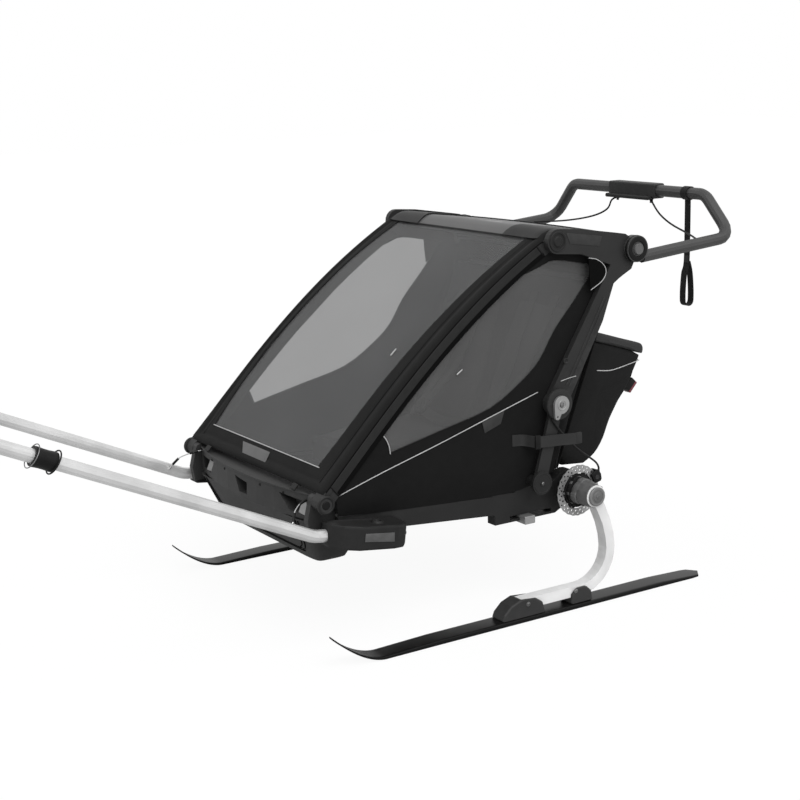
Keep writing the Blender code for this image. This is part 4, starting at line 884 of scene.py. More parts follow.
def _ray_to(middle: Vector, angle: float, outline: Sequence[SidePoint]) -> float:
    """Distance from a centre to an outline at an angle."""
    ray = Vector((math.cos(angle), math.sin(angle)))
    best = 0.0
    for (ay, az), (by, bz) in zip(outline, [*outline[1:], outline[0]]):
        a = Vector((ay, az)) - middle
        edge = Vector((by - ay, bz - az))
        cross = ray.x * edge.y - ray.y * edge.x
        if abs(cross) < 1e-12:
            continue
        reach = (a.x * edge.y - a.y * edge.x) / cross
        share = (a.x * ray.y - a.y * ray.x) / cross
        if reach > 0 and -1e-6 <= share <= 1 + 1e-6:
            best = max(best, reach)
    return best


def shell(name: str, outline: Sequence[SidePoint], centre: SidePoint, stations: Sequence[SidePoint],
          cut: SidePoint = (1.0, 1.0)) -> bpy.types.Object:
    """A closed form lofted across X from one side-view outline.

    Args:
        name: the piece's name.
        outline: its side-view section, closed.
        centre: point that the section shrinks towards at its ends.
        stations: X of each section with its size, from 0 for a point to 1 for the full outline.
        cut: size of its pattern in metres.

    Returns:
        The new object.
    """
    middle = Vector(centre)
    ring = [Vector(point) for point in outline]
    count = len(ring)
    last = len(stations) - 1

    def place(share_round: float, share_across: float) -> Point:
        x, size = stations[round(share_across * last)]
        spot = middle + (ring[round(share_round * count) % count] - middle) * size
        return x, spot.x, spot.y

    piece = mapped_sheet(name, count, last, place, cut, closed=True)
    smooth(piece, 55)
    return piece


def rounded_stations(half: float, radius: float, depth: float, middle: int = 10) -> list[SidePoint]:
    """Stations of a shell with rounded ends.

    Args:
        half: half its width.
        radius: radius of the rounding.
        depth: smaller half of its section, which the rounding eats into.
        middle: sections between the roundings.

    Returns:
        X and size of each section, from the left end to the right one.
    """
    steps = 4
    bite = radius / depth
    end = [(half, 0.0), (half, 0.55)]
    for step in range(steps + 1):
        angle = math.pi / 2 * step / steps
        end.append((half - radius * (1 - math.sin(math.pi / 2 - angle)), 1 - bite * (1 - math.sin(angle))))
    inner = half - radius
    across = [(inner - 2 * inner * step / middle, 1.0) for step in range(1, middle)]
    return end + across + [(-x, size) for x, size in end[::-1]]


def flatten(piece: bpy.types.Object) -> None:
    """Give a soft piece its own copy of its mesh."""
    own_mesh(piece)


def dress(piece: bpy.types.Object, finish: Finish, body: str | None, soft: bool = False) -> bpy.types.Object:
    """Give a piece its finish and the body that it rides on.

    Args:
        piece: the new piece.
        finish: its finish.
        body: the CAD body that carries it, or None to leave it unattached here.
        soft: whether it gets its own copy of its mesh.

    Returns:
        The piece.
    """
    piece.data.materials.clear()
    piece.data.materials.append(finish.material())
    if body:
        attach(piece, body)
    if soft:
        flatten(piece)
    LOG.info("%s: %s", piece.name, finish.name)
    return piece


def named(label: str, side: int) -> str:
    """A piece's name with its side, from the side's sign."""
    return f"{label}_{'left' if side > 0 else 'right'}"


@dataclass
class Studio:
    """Camera, floor, world and lamps."""

    camera_turns: Point = (57.8745, 12.3921, -1.6176)
    camera_lens: float = 70.2
    camera_spot: Point = (3.1481, -2.2414, 1.2744)
    floor_glow: float = 0.93
    world_strength: float = 0.55

    def build(self) -> None:
        """Make the whole studio."""
        self._camera()
        self._floor()
        self._light()

    def _camera(self) -> None:
        """Camera at the photograph's place and angle."""
        turn, lower, roll = (math.radians(value) for value in self.camera_turns)
        forward = Vector((-math.sin(turn) * math.cos(lower), math.cos(turn) * math.cos(lower),
                          -math.sin(lower)))
        right = Vector((math.cos(turn), math.sin(turn), 0.0))
        upward = right.cross(forward)
        across = right * math.cos(roll) + upward * math.sin(roll)
        up = upward * math.cos(roll) - right * math.sin(roll)
        data = bpy.data.cameras.new("camera")
        data.lens = self.camera_lens
        data.sensor_width = 36.0
        camera = bpy.data.objects.new("camera", data)
        bpy.context.scene.collection.objects.link(camera)
        camera.matrix_world = Matrix((
            (across.x, up.x, -forward.x, self.camera_spot[0]),
            (across.y, up.y, -forward.y, self.camera_spot[1] + SHIFT),
            (across.z, up.z, -forward.z, self.camera_spot[2]),
            (0.0, 0.0, 0.0, 1.0)))
        bpy.context.scene.camera = camera

    def _floor(self) -> None:
        """White floor that keeps a soft shadow."""
        deselect()
        bpy.ops.mesh.primitive_plane_add(size=40.0, location=(0, 0, -0.0005))
        floor = bpy.context.object
        floor.name = "floor"
        material = bpy.data.materials.new("floor_white")
        material.use_nodes = True
        tree = material.node_tree
        tree.nodes.clear()
        made = tree.nodes.new("ShaderNodeOutputMaterial")
        seen, bounced = tree.nodes.new("ShaderNodeBsdfDiffuse"), tree.nodes.new("ShaderNodeBsdfDiffuse")
        seen.inputs["Color"].default_value = (0.98, 0.98, 0.98, 1)
        bounced.inputs["Color"].default_value = (0.62, 0.62, 0.62, 1)
        glow = tree.nodes.new("ShaderNodeEmission")
        glow.inputs["Color"].default_value = (1, 1, 1, 1)
        lift, choose = tree.nodes.new("ShaderNodeMixShader"), tree.nodes.new("ShaderNodeMixShader")
        lift.inputs["Fac"].default_value = self.floor_glow
        path = tree.nodes.new("ShaderNodeLightPath")
        tree.links.new(seen.outputs[0], lift.inputs[1])
        tree.links.new(glow.outputs[0], lift.inputs[2])
        tree.links.new(path.outputs["Is Camera Ray"], choose.inputs["Fac"])
        tree.links.new(bounced.outputs[0], choose.inputs[1])
        tree.links.new(lift.outputs[0], choose.inputs[2])
        tree.links.new(choose.outputs[0], made.inputs["Surface"])
        floor.data.materials.append(material)

    def _light(self) -> None:
        """Plain world and two broad lamps."""
        world = bpy.data.worlds.new("studio")
        world.use_nodes = True
        bpy.context.scene.world = world
        tree = world.node_tree
        plain = tree.nodes["Background"]
        plain.inputs["Color"].default_value = (1, 1, 1, 1)
        plain.inputs["Strength"].default_value = self.world_strength
        white = tree.nodes.new("ShaderNodeBackground")
        white.inputs["Color"].default_value = (1, 1, 1, 1)
        white.inputs["Strength"].default_value = 1.0
        path = tree.nodes.new("ShaderNodeLightPath")
        choose = tree.nodes.new("ShaderNodeMixShader")
        direct = path.outputs["Is Camera Ray"]
        for kind in ("Transmission", "Glossy"):
            either = tree.nodes.new("ShaderNodeMath")
            either.operation = "MAXIMUM"
            tree.links.new(direct, either.inputs[0])
            tree.links.new(path.outputs[f"Is {kind} Ray"], either.inputs[1])
            direct = either.outputs[0]
        tree.links.new(direct, choose.inputs["Fac"])
        tree.links.new(plain.outputs[0], choose.inputs[1])
        tree.links.new(white.outputs[0], choose.inputs[2])
        tree.links.new(choose.outputs[0], tree.nodes["World Output"].inputs["Surface"])
        for name, source, strength, angle in (
                ("key", (0.85, -0.05, 0.95), 2.2, 50), ("fill", (-0.25, -0.85, 0.55), 0.45, 70)):
            lamp = bpy.data.lights.new(name, "SUN")
            lamp.energy = strength
            lamp.angle = math.radians(angle)
            holder = bpy.data.objects.new(name, lamp)
            holder.rotation_mode = "QUATERNION"
            holder.rotation_quaternion = Vector(source).to_track_quat("Z", "Y")
            bpy.context.scene.collection.objects.link(holder)
        bpy.context.scene.view_settings.view_transform = "Standard"


@dataclass
class Cords:
    """Brake cables, caliper hoses and safety cables."""

    hose_radius: float = 0.0024
    wire_radius: float = 0.0015
    arm_x: float = 0.3473

    def build(self) -> None:
        """Make the cords of both sides."""
        for side in (1, -1):
            self._brake_cable(side)
            self._caliper_hose(side)
            self._safety_cable(side)

    def _cord(self, name: str, side: int, route: Sequence[Vector], radius: float, finish: Finish,
              stiffness: str) -> bpy.types.Object:
        """One cord as a mesh tube that stands for its CAD node.

        Args:
            name: the CAD node's name without its side.
            side: 1 for left, -1 for right.
            route: its points on the left.
            radius: its radius.
            finish: its finish.
            stiffness: how stiff it is; not used.

        Returns:
            The cord.
        """
        points = [Vector((point.x * side, point.y, point.z)) for point in route]
        full = named(name, side)
        cord = tube(f"{full}_cord", points, radius, resolution=2)
        dress(cord, finish, None)
        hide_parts(full)
        return cord

    def _brake_cable(self, side: int) -> None:
        """Cable from the brake housing to the push bar's arm."""
        y, z = GRIP_HIGH
        start = HUB + Vector((0.0225, -0.0217))
        end = HUB + Vector((0.3115, 0.0025))
        end_y = HUB.x + 0.2245
        end_z = start.y + (end.y - start.y) * (end_y - start.x) / (end.x - start.x)
        exit_x = 0.066
        end_x = self.arm_x - PUSH_TUBE_RADIUS - 0.0012
        reach = end_x - exit_x
        route = smooth_route([
            (exit_x, y - 0.004, z - 0.0240), (exit_x + reach * 0.059, y - 0.014, z - 0.0325),
            (exit_x + reach * 0.148, y - 0.011, z - 0.059), (exit_x + reach * 0.344, y - 0.018, z - 0.0805),
            (exit_x + reach * 0.666, y - 0.0375, z - 0.097), (end_x, end_y, end_z)], 5)
        cord = self._cord("brake_cable", side, route, self.hose_radius, CABLE_RUBBER, "stiff")
        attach(cord, "push_bar")
        boot = turned(named("cable_boot", side), (exit_x * side, y - 0.004, z - 0.0185), (0, -0.25, -1),
                      [(0, 0), (0, 0.0052), (0.004, 0.0052), (0.006, 0.0044), (0.0085, 0.0044),
                       (0.010, 0.0033), (0.0145, 0.0031), (0.0145, 0)], 20)
        dress(boot, DEEP_BLACK, "push_bar")

    def _caliper_hose(self, side: int) -> None:
        """Hose from the fold joint to the brake caliper."""
        end = FOLD_JOINT + Vector((-0.567, -0.824)) * 0.0389
        hose_x, top_x = 0.3535, 0.3624
        route = smooth_route([
            (hose_x, 0.0660, 0.2990), (hose_x, 0.0668, 0.3065), (hose_x, 0.0612, 0.3175),
            (hose_x + 0.0005, 0.0500, 0.3278), (hose_x + 0.0015, 0.0330, 0.3398),
            (hose_x + 0.004, 0.0090, 0.3565), (hose_x + 0.006, -0.0160, 0.3770),
            (top_x, -0.0540, 0.4150), (top_x, *end)], 4)
        cord = self._cord("caliper_hose", side, route, self.hose_radius, CABLE_RUBBER, "stiff")
        at(0.36 * side, end.x, end.y)
        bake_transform(cord)

    def _safety_cable(self, side: int) -> None:
        """Wire from the nose to the tow bar, with a crimp at each end."""
        anchor = TOW_BEND + TOW_FORWARD * 0.050
        start_y = nose_front(0.272) - 0.0006
        end_x = TOW_X - TOW_RADIUS - self.wire_radius
        route = smooth_route([
            (0.272, start_y, 0.342), (0.276, start_y - 0.022, 0.340), (0.294, start_y - 0.050, 0.328),
            (end_x - 0.006, anchor.x + 0.010, anchor.y + 0.014), (end_x, anchor.x, anchor.y)], 5)
        cord = self._cord("safety_cable", side, route, self.wire_radius, WIRE_STEEL, "stiff")
        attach(cord, "base")
        for label, spot in (("upper", 0.10), ("lower", 0.62)):
            a, b = point_along(route, spot), point_along(route, spot + 0.22)
            a, b = (Vector((p.x * side, p.y, p.z)) for p in (a, b))
            crimp = turned(named(f"safety_crimp_{label}", side), tuple(a), b - a,
                           [(0, 0), (0, 0.0026), (0.001, 0.0031), ((b - a).length - 0.001, 0.0031),
                            ((b - a).length, 0.0026), ((b - a).length, 0)], 16)
            dress(crimp, DEEP_BLACK, "base")


@dataclass
class FrontCover:
    """Film cover over the front pillars, with its edging, lower band and piping."""

    lift: float = 0.0182
    crown: float = 0.0025
    half: float = 0.330
    foot: float = 0.012
    band: float = 0.0645
    film_top: float = 0.794
    top: float = 0.797
    near_edge: tuple[SidePoint, ...] = (
        (0.0645, 0.2450), (0.15, 0.250), (0.30, 0.2525), (0.60, 0.264), (0.79, 0.270))
    far_edge: tuple[SidePoint, ...] = (
        (0.0645, 0.270), (0.15, 0.284), (0.30, 0.297), (0.60, 0.290), (0.79, 0.274))

    def build(self) -> None:
        """Make the cover's parts."""
        self._film()
        self._edging()
        self._trim()

    def edge(self, side: int, along: float) -> float:
        """X of the film's edge at a distance along the pillar."""
        return side * between(along, self.near_edge if side > 0 else self.far_edge)

    def spot(self, x: float, along: float, above: float = 0.0) -> Point:
        """A place on the cover's slightly crowned surface."""
        fullness = math.sin(math.pi * min(1.0, along / self.top))
        crown = self.crown * (1 - min(1.0, abs(x) / self.half) ** 2) * fullness
        y, z = on_pillar(along, self.lift + crown + above)
        return x, y, z

    def _film(self) -> None:
        """Tinted film in the cover's opening."""
        low, high = self.band - 0.006, self.film_top + 0.006

        def place(share_across: float, share_along: float) -> Point:
            along = low + (high - low) * share_along
            left, right = self.edge(-1, along) - 0.005, self.edge(1, along) + 0.005
            return self.spot(left + (right - left) * share_across, along, -0.0006)

        film = mapped_sheet("front_cover_film", 36, 48, place, (0.56, 0.71))
        smooth(film, 60)
        dress(film, COVER_FILM, "front_cover")
        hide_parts("front_cover")

    def _edging(self) -> None:
        """Black cloth all round the film, with a hem and a stitched line."""
        shares = [step / 40 for step in range(40)]
        rising = [self.band + (self.film_top - self.band) * share for share in shares]
        falling = [self.film_top - (self.film_top - self.band) * share for share in shares]
        (left, right), (top_left, top_right) = (
            (self.edge(-1, along), self.edge(1, along)) for along in (self.band, self.film_top))
        inner = [(left * (1 - share) + right * share, self.band) for share in shares]
        inner += [(self.edge(1, along), along) for along in rising]
        inner += [(top_right * (1 - share) + top_left * share, self.film_top) for share in shares]
        inner += [(self.edge(-1, along), along) for along in falling]
        outer = [(-self.half + 2 * self.half * share, self.foot) for share in shares]
        outer += [(self.half, self.foot + (self.top - self.foot) * share) for share in shares]
        outer += [(self.half - 2 * self.half * share, self.top) for share in shares]
        outer += [(-self.half, self.top - (self.top - self.foot) * share) for share in shares]
        count = len(inner)
        rise = ((0.0, 0.0008), (0.05, 0.0013), (0.42, 0.0006), (0.50, -0.0004), (0.58, 0.0004),
                (0.70, 0.0026), (0.86, 0.0028), (0.95, 0.0006), (1.0, -0.0030))

        def place(share_round: float, share_out: float) -> Point:
            index = round(share_round * count) % count
            x = inner[index][0] + (outer[index][0] - inner[index][0]) * share_out
            along = inner[index][1] + (outer[index][1] - inner[index][1]) * share_out
            return self.spot(x, along, between(share_out, rise))

        edging = mapped_sheet("front_cover_edging", count, 18, place, (2.7, 0.06), closed=True)
        thicken(edging, 0.0014)
        dress(edging, EDGE_CLOTH, "front_cover")

    def _trim(self) -> None:
        """Piping, a bare label patch, seams, painted shadow lines in the gaps by the pillars, a pull tab and
        two hooks.
        """
        line = [self.spot(-0.272 + 0.526 * step / 24, self.band, 0.0022) for step in range(25)]
        dress(tube("front_cover_piping", line, 0.0012), PIPING, "front_cover")
        corners = ((-0.0595, 0.021), (0.0511, 0.021), (0.0376, 0.054), (-0.0985, 0.054))

        def patch(share_across: float, share_along: float) -> Point:
            left = corners[0][0] + (corners[3][0] - corners[0][0]) * share_along
            right = corners[1][0] + (corners[2][0] - corners[1][0]) * share_along
            along = corners[0][1] + (corners[3][1] - corners[0][1]) * share_along
            return self.spot(left + (right - left) * share_across, along, 0.0024)

        label = mapped_sheet("front_label_patch", 12, 4, patch, (0.13, 0.034))
        apply_modifier(label, "SOLIDIFY", thickness=0.0016, offset=0.0)
        round_edges(label, 0.0006, 40)
        smooth(label, 40)
        dress(label, LABEL_GREY, "front_cover")
        for side in (1, -1):
            seam = [self.spot(side * 0.2900, 0.03 + 0.75 * step / 40, 0.0012) for step in range(41)]
            dress(tube(named("cover_seam", side), seam, 0.0010, resolution=2), EDGE_CLOTH, "front_cover")
            stations = [0.020 + 0.765 * step / 40 for step in range(41)]
            # Painted shadow: a near-black bead stands for the shade in the gap between the cover's hem and
            # each pillar sleeve.
            gap = [(side * 0.3316, *on_pillar(along, self.lift - 0.0018)) for along in stations]
            dress(tube(named("cover_gap_shadow", side), gap, 0.0016, resolution=2), SHADOW_CLOTH, "front_cover")
        tab = [Vector(self.spot(0.2085, 0.372 + 0.020 * step / 4, 0.0014)) for step in range(5)]
        dress(ribbon("cover_pull_tab", tab, Vector((1, 0, 0)), 0.0035, 0.0012, 6), PIPING, "front_cover")
        for side in (1, -1):
            clip = [(side * 0.2175, *on_pillar(0.0105, 0.0215)), (side * 0.2175, *on_pillar(-0.004, 0.0205))]
            hook = ribbon(named("cover_hook", side), [Vector(p) for p in clip], Vector((1, 0, 0)),
                          0.022, 0.003, 4)
            apply_modifier(hook, "BEVEL", width=0.001, segments=2)
            dress(hook, DEEP_BLACK, "front_cover")


@dataclass
class Roof:
    """Roof between the side plates: grey film with black bands and corner caps."""

    half: float = 0.3325
    panel_half: float = 0.262
    front_y: float = -0.0810
    lip: float = 0.0236
    rear_y: float = 0.150
    front_z: float = 0.8800
    fall: float = -0.140

    def build(self) -> None:
        """Make the roof's parts."""
        self._panel()
        for side in (1, -1):
            self._band(side)
            self._corner(side)
        self._rear_hem()

    def spot(self, x: float, y: float, above: float = 0.0) -> Point:
        """A place on the roof, which bends down at its front and crowns in the middle."""
        bend = max(0.0, (-0.030 - y) / 0.051)
        z = self.front_z + (y + 0.055) * self.fall - self.lip * bend ** 2
        crown = 0.004 * (1 - (x / self.half) ** 2) * max(0.0, 1 - bend ** 2)
        return x, y, z + crown + above

    def _panel(self) -> None:
        """Grey see-through film."""
        def place(share_across: float, share_along: float) -> Point:
            x = (share_across - 0.5) * 2 * (self.panel_half + 0.01)
            return self.spot(x, self.front_y + (self.rear_y - self.front_y) * share_along)

        panel = mapped_sheet("roof_film_panel", 30, 14, place, (0.54, 0.22))
        smooth(panel, 60)
        dress(panel, ROOF_FILM, "upper_frame")
        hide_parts("roof_panel")

    def _band(self, side: int) -> None:
        """Black cloth band along the roof's edge, with a rounded outer hem."""
        def place(share_across: float, share_along: float) -> Point:
            x = self.panel_half + (self.half - self.panel_half) * share_across
            drop = 0.010 * max(0.0, (share_across - 0.75) / 0.25) ** 2
            y = self.front_y + (self.rear_y - self.front_y) * share_along
            return self.spot(side * x, y, 0.0012 - drop)

        band = mapped_sheet(named("roof_band", side), 14, 16, place, (0.07, 0.22))
        thicken(band, 0.0020)
        dress(band, EDGE_CLOTH, "upper_frame")

    def _corner(self, side: int) -> None:
        """Black corner cap that wraps the roof's front corner."""
        inner_front, inner_rear = 0.182, 0.268

        def place(share_across: float, share_along: float) -> Point:
            front = self.front_y - 0.002 + 0.014 * max(0.0, (share_across - 0.75) / 0.25) ** 2
            y = front + (0.0800 - front) * share_along
            inner = inner_front + (inner_rear - inner_front) * share_along ** 1.6
            x = inner + (self.half - inner) * share_across
            drop = 0.012 * max(0.0, (share_across - 0.8) / 0.2) ** 2
            return self.spot(side * x, y, 0.0026 - drop)

        cap = mapped_sheet(named("roof_corner", side), 14, 14, place, (0.12, 0.10))
        thicken(cap, 0.0024)
        dress(cap, MATT_BLACK, "upper_frame")

    def _rear_hem(self) -> None:
        """Rolled hem over the rear crossbar and a front hem between the caps."""
        rear = [self.spot(-0.325 + 0.65 * step / 24, self.rear_y, -0.001) for step in range(25)]
        dress(tube("roof_rear_hem", rear, 0.004, resolution=4), EDGE_CLOTH, "upper_frame")
        front = [self.spot(-0.262 + 0.524 * step / 24, self.front_y + 0.001, 0.0002) for step in range(25)]
        dress(tube("roof_front_hem", front, 0.0014), SLATE, "upper_frame")


@dataclass
class SidePanel:
    """Cloth side of the cabin with its window, piping and bare tag."""

    side: int
    plane: float = 0.3258
    centre: SidePoint = (-0.20, 0.60)
    film_size: float = 1.012

    def build(self) -> None:
        """Make the side's parts."""
        window = self._window_outline()
        self._cloth(window)
        self._film(window)
        self._wrap()
        self._trim(window)

    def _outer_outline(self) -> list[SidePoint]:
        """The cloth's outline, round the pillar, the plate, the post and the rail."""
        stations = [0.030 + 0.750 * step / 14 for step in range(15)]
        outline = [tuple(on_pillar(along, -0.0120)) for along in stations]
        outline += [(-0.0450, 0.8480), (0.0100, 0.8450), (0.0700, 0.8330), (0.1250, 0.8050)]
        outline += self.rear_edge()[::-1]
        outline += [(-0.066, 0.292), (-0.135, 0.275), (-0.215, 0.2735), (-0.330, 0.2800), (-0.450, 0.2885),
                    (-0.560, 0.2975), (-0.632, 0.305)]
        return outline

    def rear_edge(self) -> list[SidePoint]:
        """The cloth's rear edge, from low to high, where it turns to the back."""
        return [(-0.0385, 0.316), (-0.036, 0.345), (-0.012, 0.470), (0.0100, 0.5194), (0.0500, 0.5975),
                (0.0940, 0.6756), (0.1180, 0.7250), (0.1320, 0.7580)]

    def _window_outline(self) -> list[SidePoint]:
        """The window's outline: round below and behind, and hidden by the pillar above."""
        low = smooth_route([(-0.4969, 0.4271), (-0.36, 0.4572), (-0.2288, 0.4874), (-0.1403, 0.537),
                            (-0.085, 0.5826), (-0.0408, 0.6477), (0.0185, 0.7116), (0.0813, 0.7852)], 3)
        top = smooth_route([(0.0813, 0.7852), (0.0485, 0.7953), (-0.0395, 0.8115), (-0.0828, 0.8006),
                            tuple(on_pillar(0.700, -0.0185))], 3)
        upper = [on_pillar(0.70 - 0.49 * step / 10, -0.0160) for step in range(1, 11)]
        points = low + top[1:] + upper + [Vector((-0.5234, 0.4808)), Vector((-0.5080, 0.4560))]
        return [tuple(point) for point in points]

    def _x(self, z: float, bulge: float) -> float:
        """X of the cloth, which leans in over the rail and bulges a little."""
        lean = 0.016 * eased((0.335 - z) / 0.06)
        return self.side * (self.plane + bulge - lean)

    def _cloth(self, window: Sequence[SidePoint]) -> None:
        """Black cloth with a hole for the window."""
        def across(y: float, z: float, share: float) -> float:
            return self._x(z, 0.0030 * math.sin(math.pi * share))

        cloth = polar_sheet(named("side_cloth", self.side), self.centre, window, self._outer_outline(),
                            across, 8)
        thicken(cloth, 0.0016, 50)
        dress(cloth, SIDE_CLOTH, "base")
        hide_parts(named("side_panel", self.side))
        flatten(cloth)
        named("base_rail", self.side)

    def _film(self, window: Sequence[SidePoint]) -> None:
        """Tinted film behind the cloth's opening."""
        def across(y: float, z: float, share: float) -> float:
            return self.side * (self.plane - 0.0012 + 0.0022 * (1 - share * share))

        middle = Vector(self.centre)
        grown = [tuple(middle + (Vector(point) - middle) * self.film_size) for point in window]
        film = polar_sheet(named("side_window", self.side), self.centre, None, grown, across, 9)
        smooth(film, 60)
        dress(film, SIDE_FILM, "base", soft=True)
        named("side_cloth", self.side)

    def _wrap(self) -> None:
        """Cloth that turns from the side's rear edge to the back."""
        edge = self.rear_edge()

        def place(share_across: float, share_along: float) -> Point:
            z = 0.316 + (0.778 - 0.316) * share_along
            y = between(z, [(height, depth) for depth, height in edge])
            rear_y = max(back_line(z) + 0.003, y + 0.006)
            turn = math.pi / 2 * share_across
            return (self.side * (self.plane - 0.026 * (1 - math.cos(turn))),
                    y - 0.004 + (rear_y - y + 0.004) * math.sin(turn), z)

        wrap = mapped_sheet(named("side_wrap", self.side), 8, 28, place, (0.05, 0.42))
        thicken(wrap, 0.0014)
        dress(wrap, SIDE_CLOTH, "base", soft=True)

    def _bead(self, name: str, points: Sequence[Sequence[float]], radius: float, finish: Finish,
              lift: float = 0.0022, closed: bool = False) -> None:
        """A bead that lies on the cloth.

        Args:
            name: its name without its side.
            points: its side-view points.
            radius: its radius.
            finish: its finish.
            lift: how far its middle line is from the cloth.
            closed: whether it is a ring.
        """
        route = [(self._x(z, lift), y, z) for y, z in points]
        bead = tube(named(name, self.side), route, radius, closed=closed, resolution=2)
        dress(bead, finish, "base", soft=True)

    def _trim(self, window: Sequence[SidePoint]) -> None:
        """Window binding, piping, stripe, tag and pull tab."""
        self._bead("window_binding", window, 0.0016, EDGE_CLOTH, 0.0006, closed=True)
        arc = smooth_route([(-0.5336, 0.4813), (-0.5190, 0.4715), (-0.5087, 0.4584), (-0.5020, 0.4420),
                            (-0.4995, 0.4253)], 4)
        self._bead("front_arc_piping", [tuple(point) for point in arc], 0.0012, PIPING)
        stripe = smooth_route([(-0.6446, 0.3508), (-0.52, 0.3880), (-0.3782, 0.4265), (-0.24, 0.4665),
                               (-0.0945, 0.5083)], 8)
        self._bead("side_stripe_piping", [tuple(point) for point in stripe], 0.0011, PIPING, 0.0038)
        corners = ((-0.2543, 0.4631), (-0.1897, 0.4810), (-0.2014, 0.4490), (-0.2466, 0.4339))
        tag = plate(named("bare_side_tag", self.side), corners, self.side * (self.plane + 0.0026),
                    self.side * (self.plane + 0.0044), 0.0005)
        dress(tag, SLATE, "base", soft=True)
        if self.side > 0:
            self._bead("window_tab", ((-0.320, 0.5795), (-0.305, 0.589)), 0.0014, PIPING, 0.0035)


@dataclass
class BackPanel:
    """Cloth back of the cabin, with a flap, seams and bindings."""

    half: float = 0.3235

    def build(self) -> None:
        """Make the back and its trim."""
        def place(share_across: float, share_along: float) -> Point:
            x = (share_across - 0.5) * 2 * self.half
            z = BACK_LOW.y + (BACK_HIGH.y - BACK_LOW.y) * share_along
            sag = 0.004 * math.sin(math.pi * share_along) * (1 - (x / self.half) ** 2)
            return x, back_line(z) + 0.0016 + sag, z

        back = mapped_sheet("back_cloth", 30, 24, place, (0.647, 0.484))
        thicken(back, 0.0016)
        dress(back, SIDE_CLOTH, "base")
        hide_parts("back_panel")
        flatten(back)
        self._flap()
        self._seams()

    def _flap(self) -> None:
        """Cloth between the back's upper edge and the roof's rear hem."""
        low_z, high_z, hem_y = 0.758, 0.848, 0.150

        def flap(share_across: float, share_along: float) -> Point:
            x = (share_across - 0.5) * 2 * self.half
            y = BACK_HIGH.x - 0.002 + (hem_y - BACK_HIGH.x) * share_along
            return x, y + 0.003 * math.sin(math.pi * share_along), low_z + (high_z - low_z) * share_along

        top = mapped_sheet("back_top_flap", 24, 8, flap, (0.647, 0.09))
        thicken(top, 0.0016)
        dress(top, SIDE_CLOTH, "upper_frame")

    def _seams(self) -> None:
        """Two seams across the back, and a binding down each edge."""
        for number, z in enumerate((0.660, 0.735)):
            route = [(-0.31 + 0.62 * step / 20, back_line(z) + 0.0060, z) for step in range(21)]
            dress(tube(f"back_seam_{number}", route, 0.0014, resolution=2), EDGE_CLOTH, "base", soft=True)
        for side in (1, -1):
            points = [(side * 0.300, back_line(z) + 0.004, z) for z in (0.34, 0.44, 0.54, 0.64, 0.755)]
            binding = tube(named("back_binding", side), smooth_route(points, 4), 0.003, resolution=3)
            dress(binding, EDGE_CLOTH, "base", soft=True)


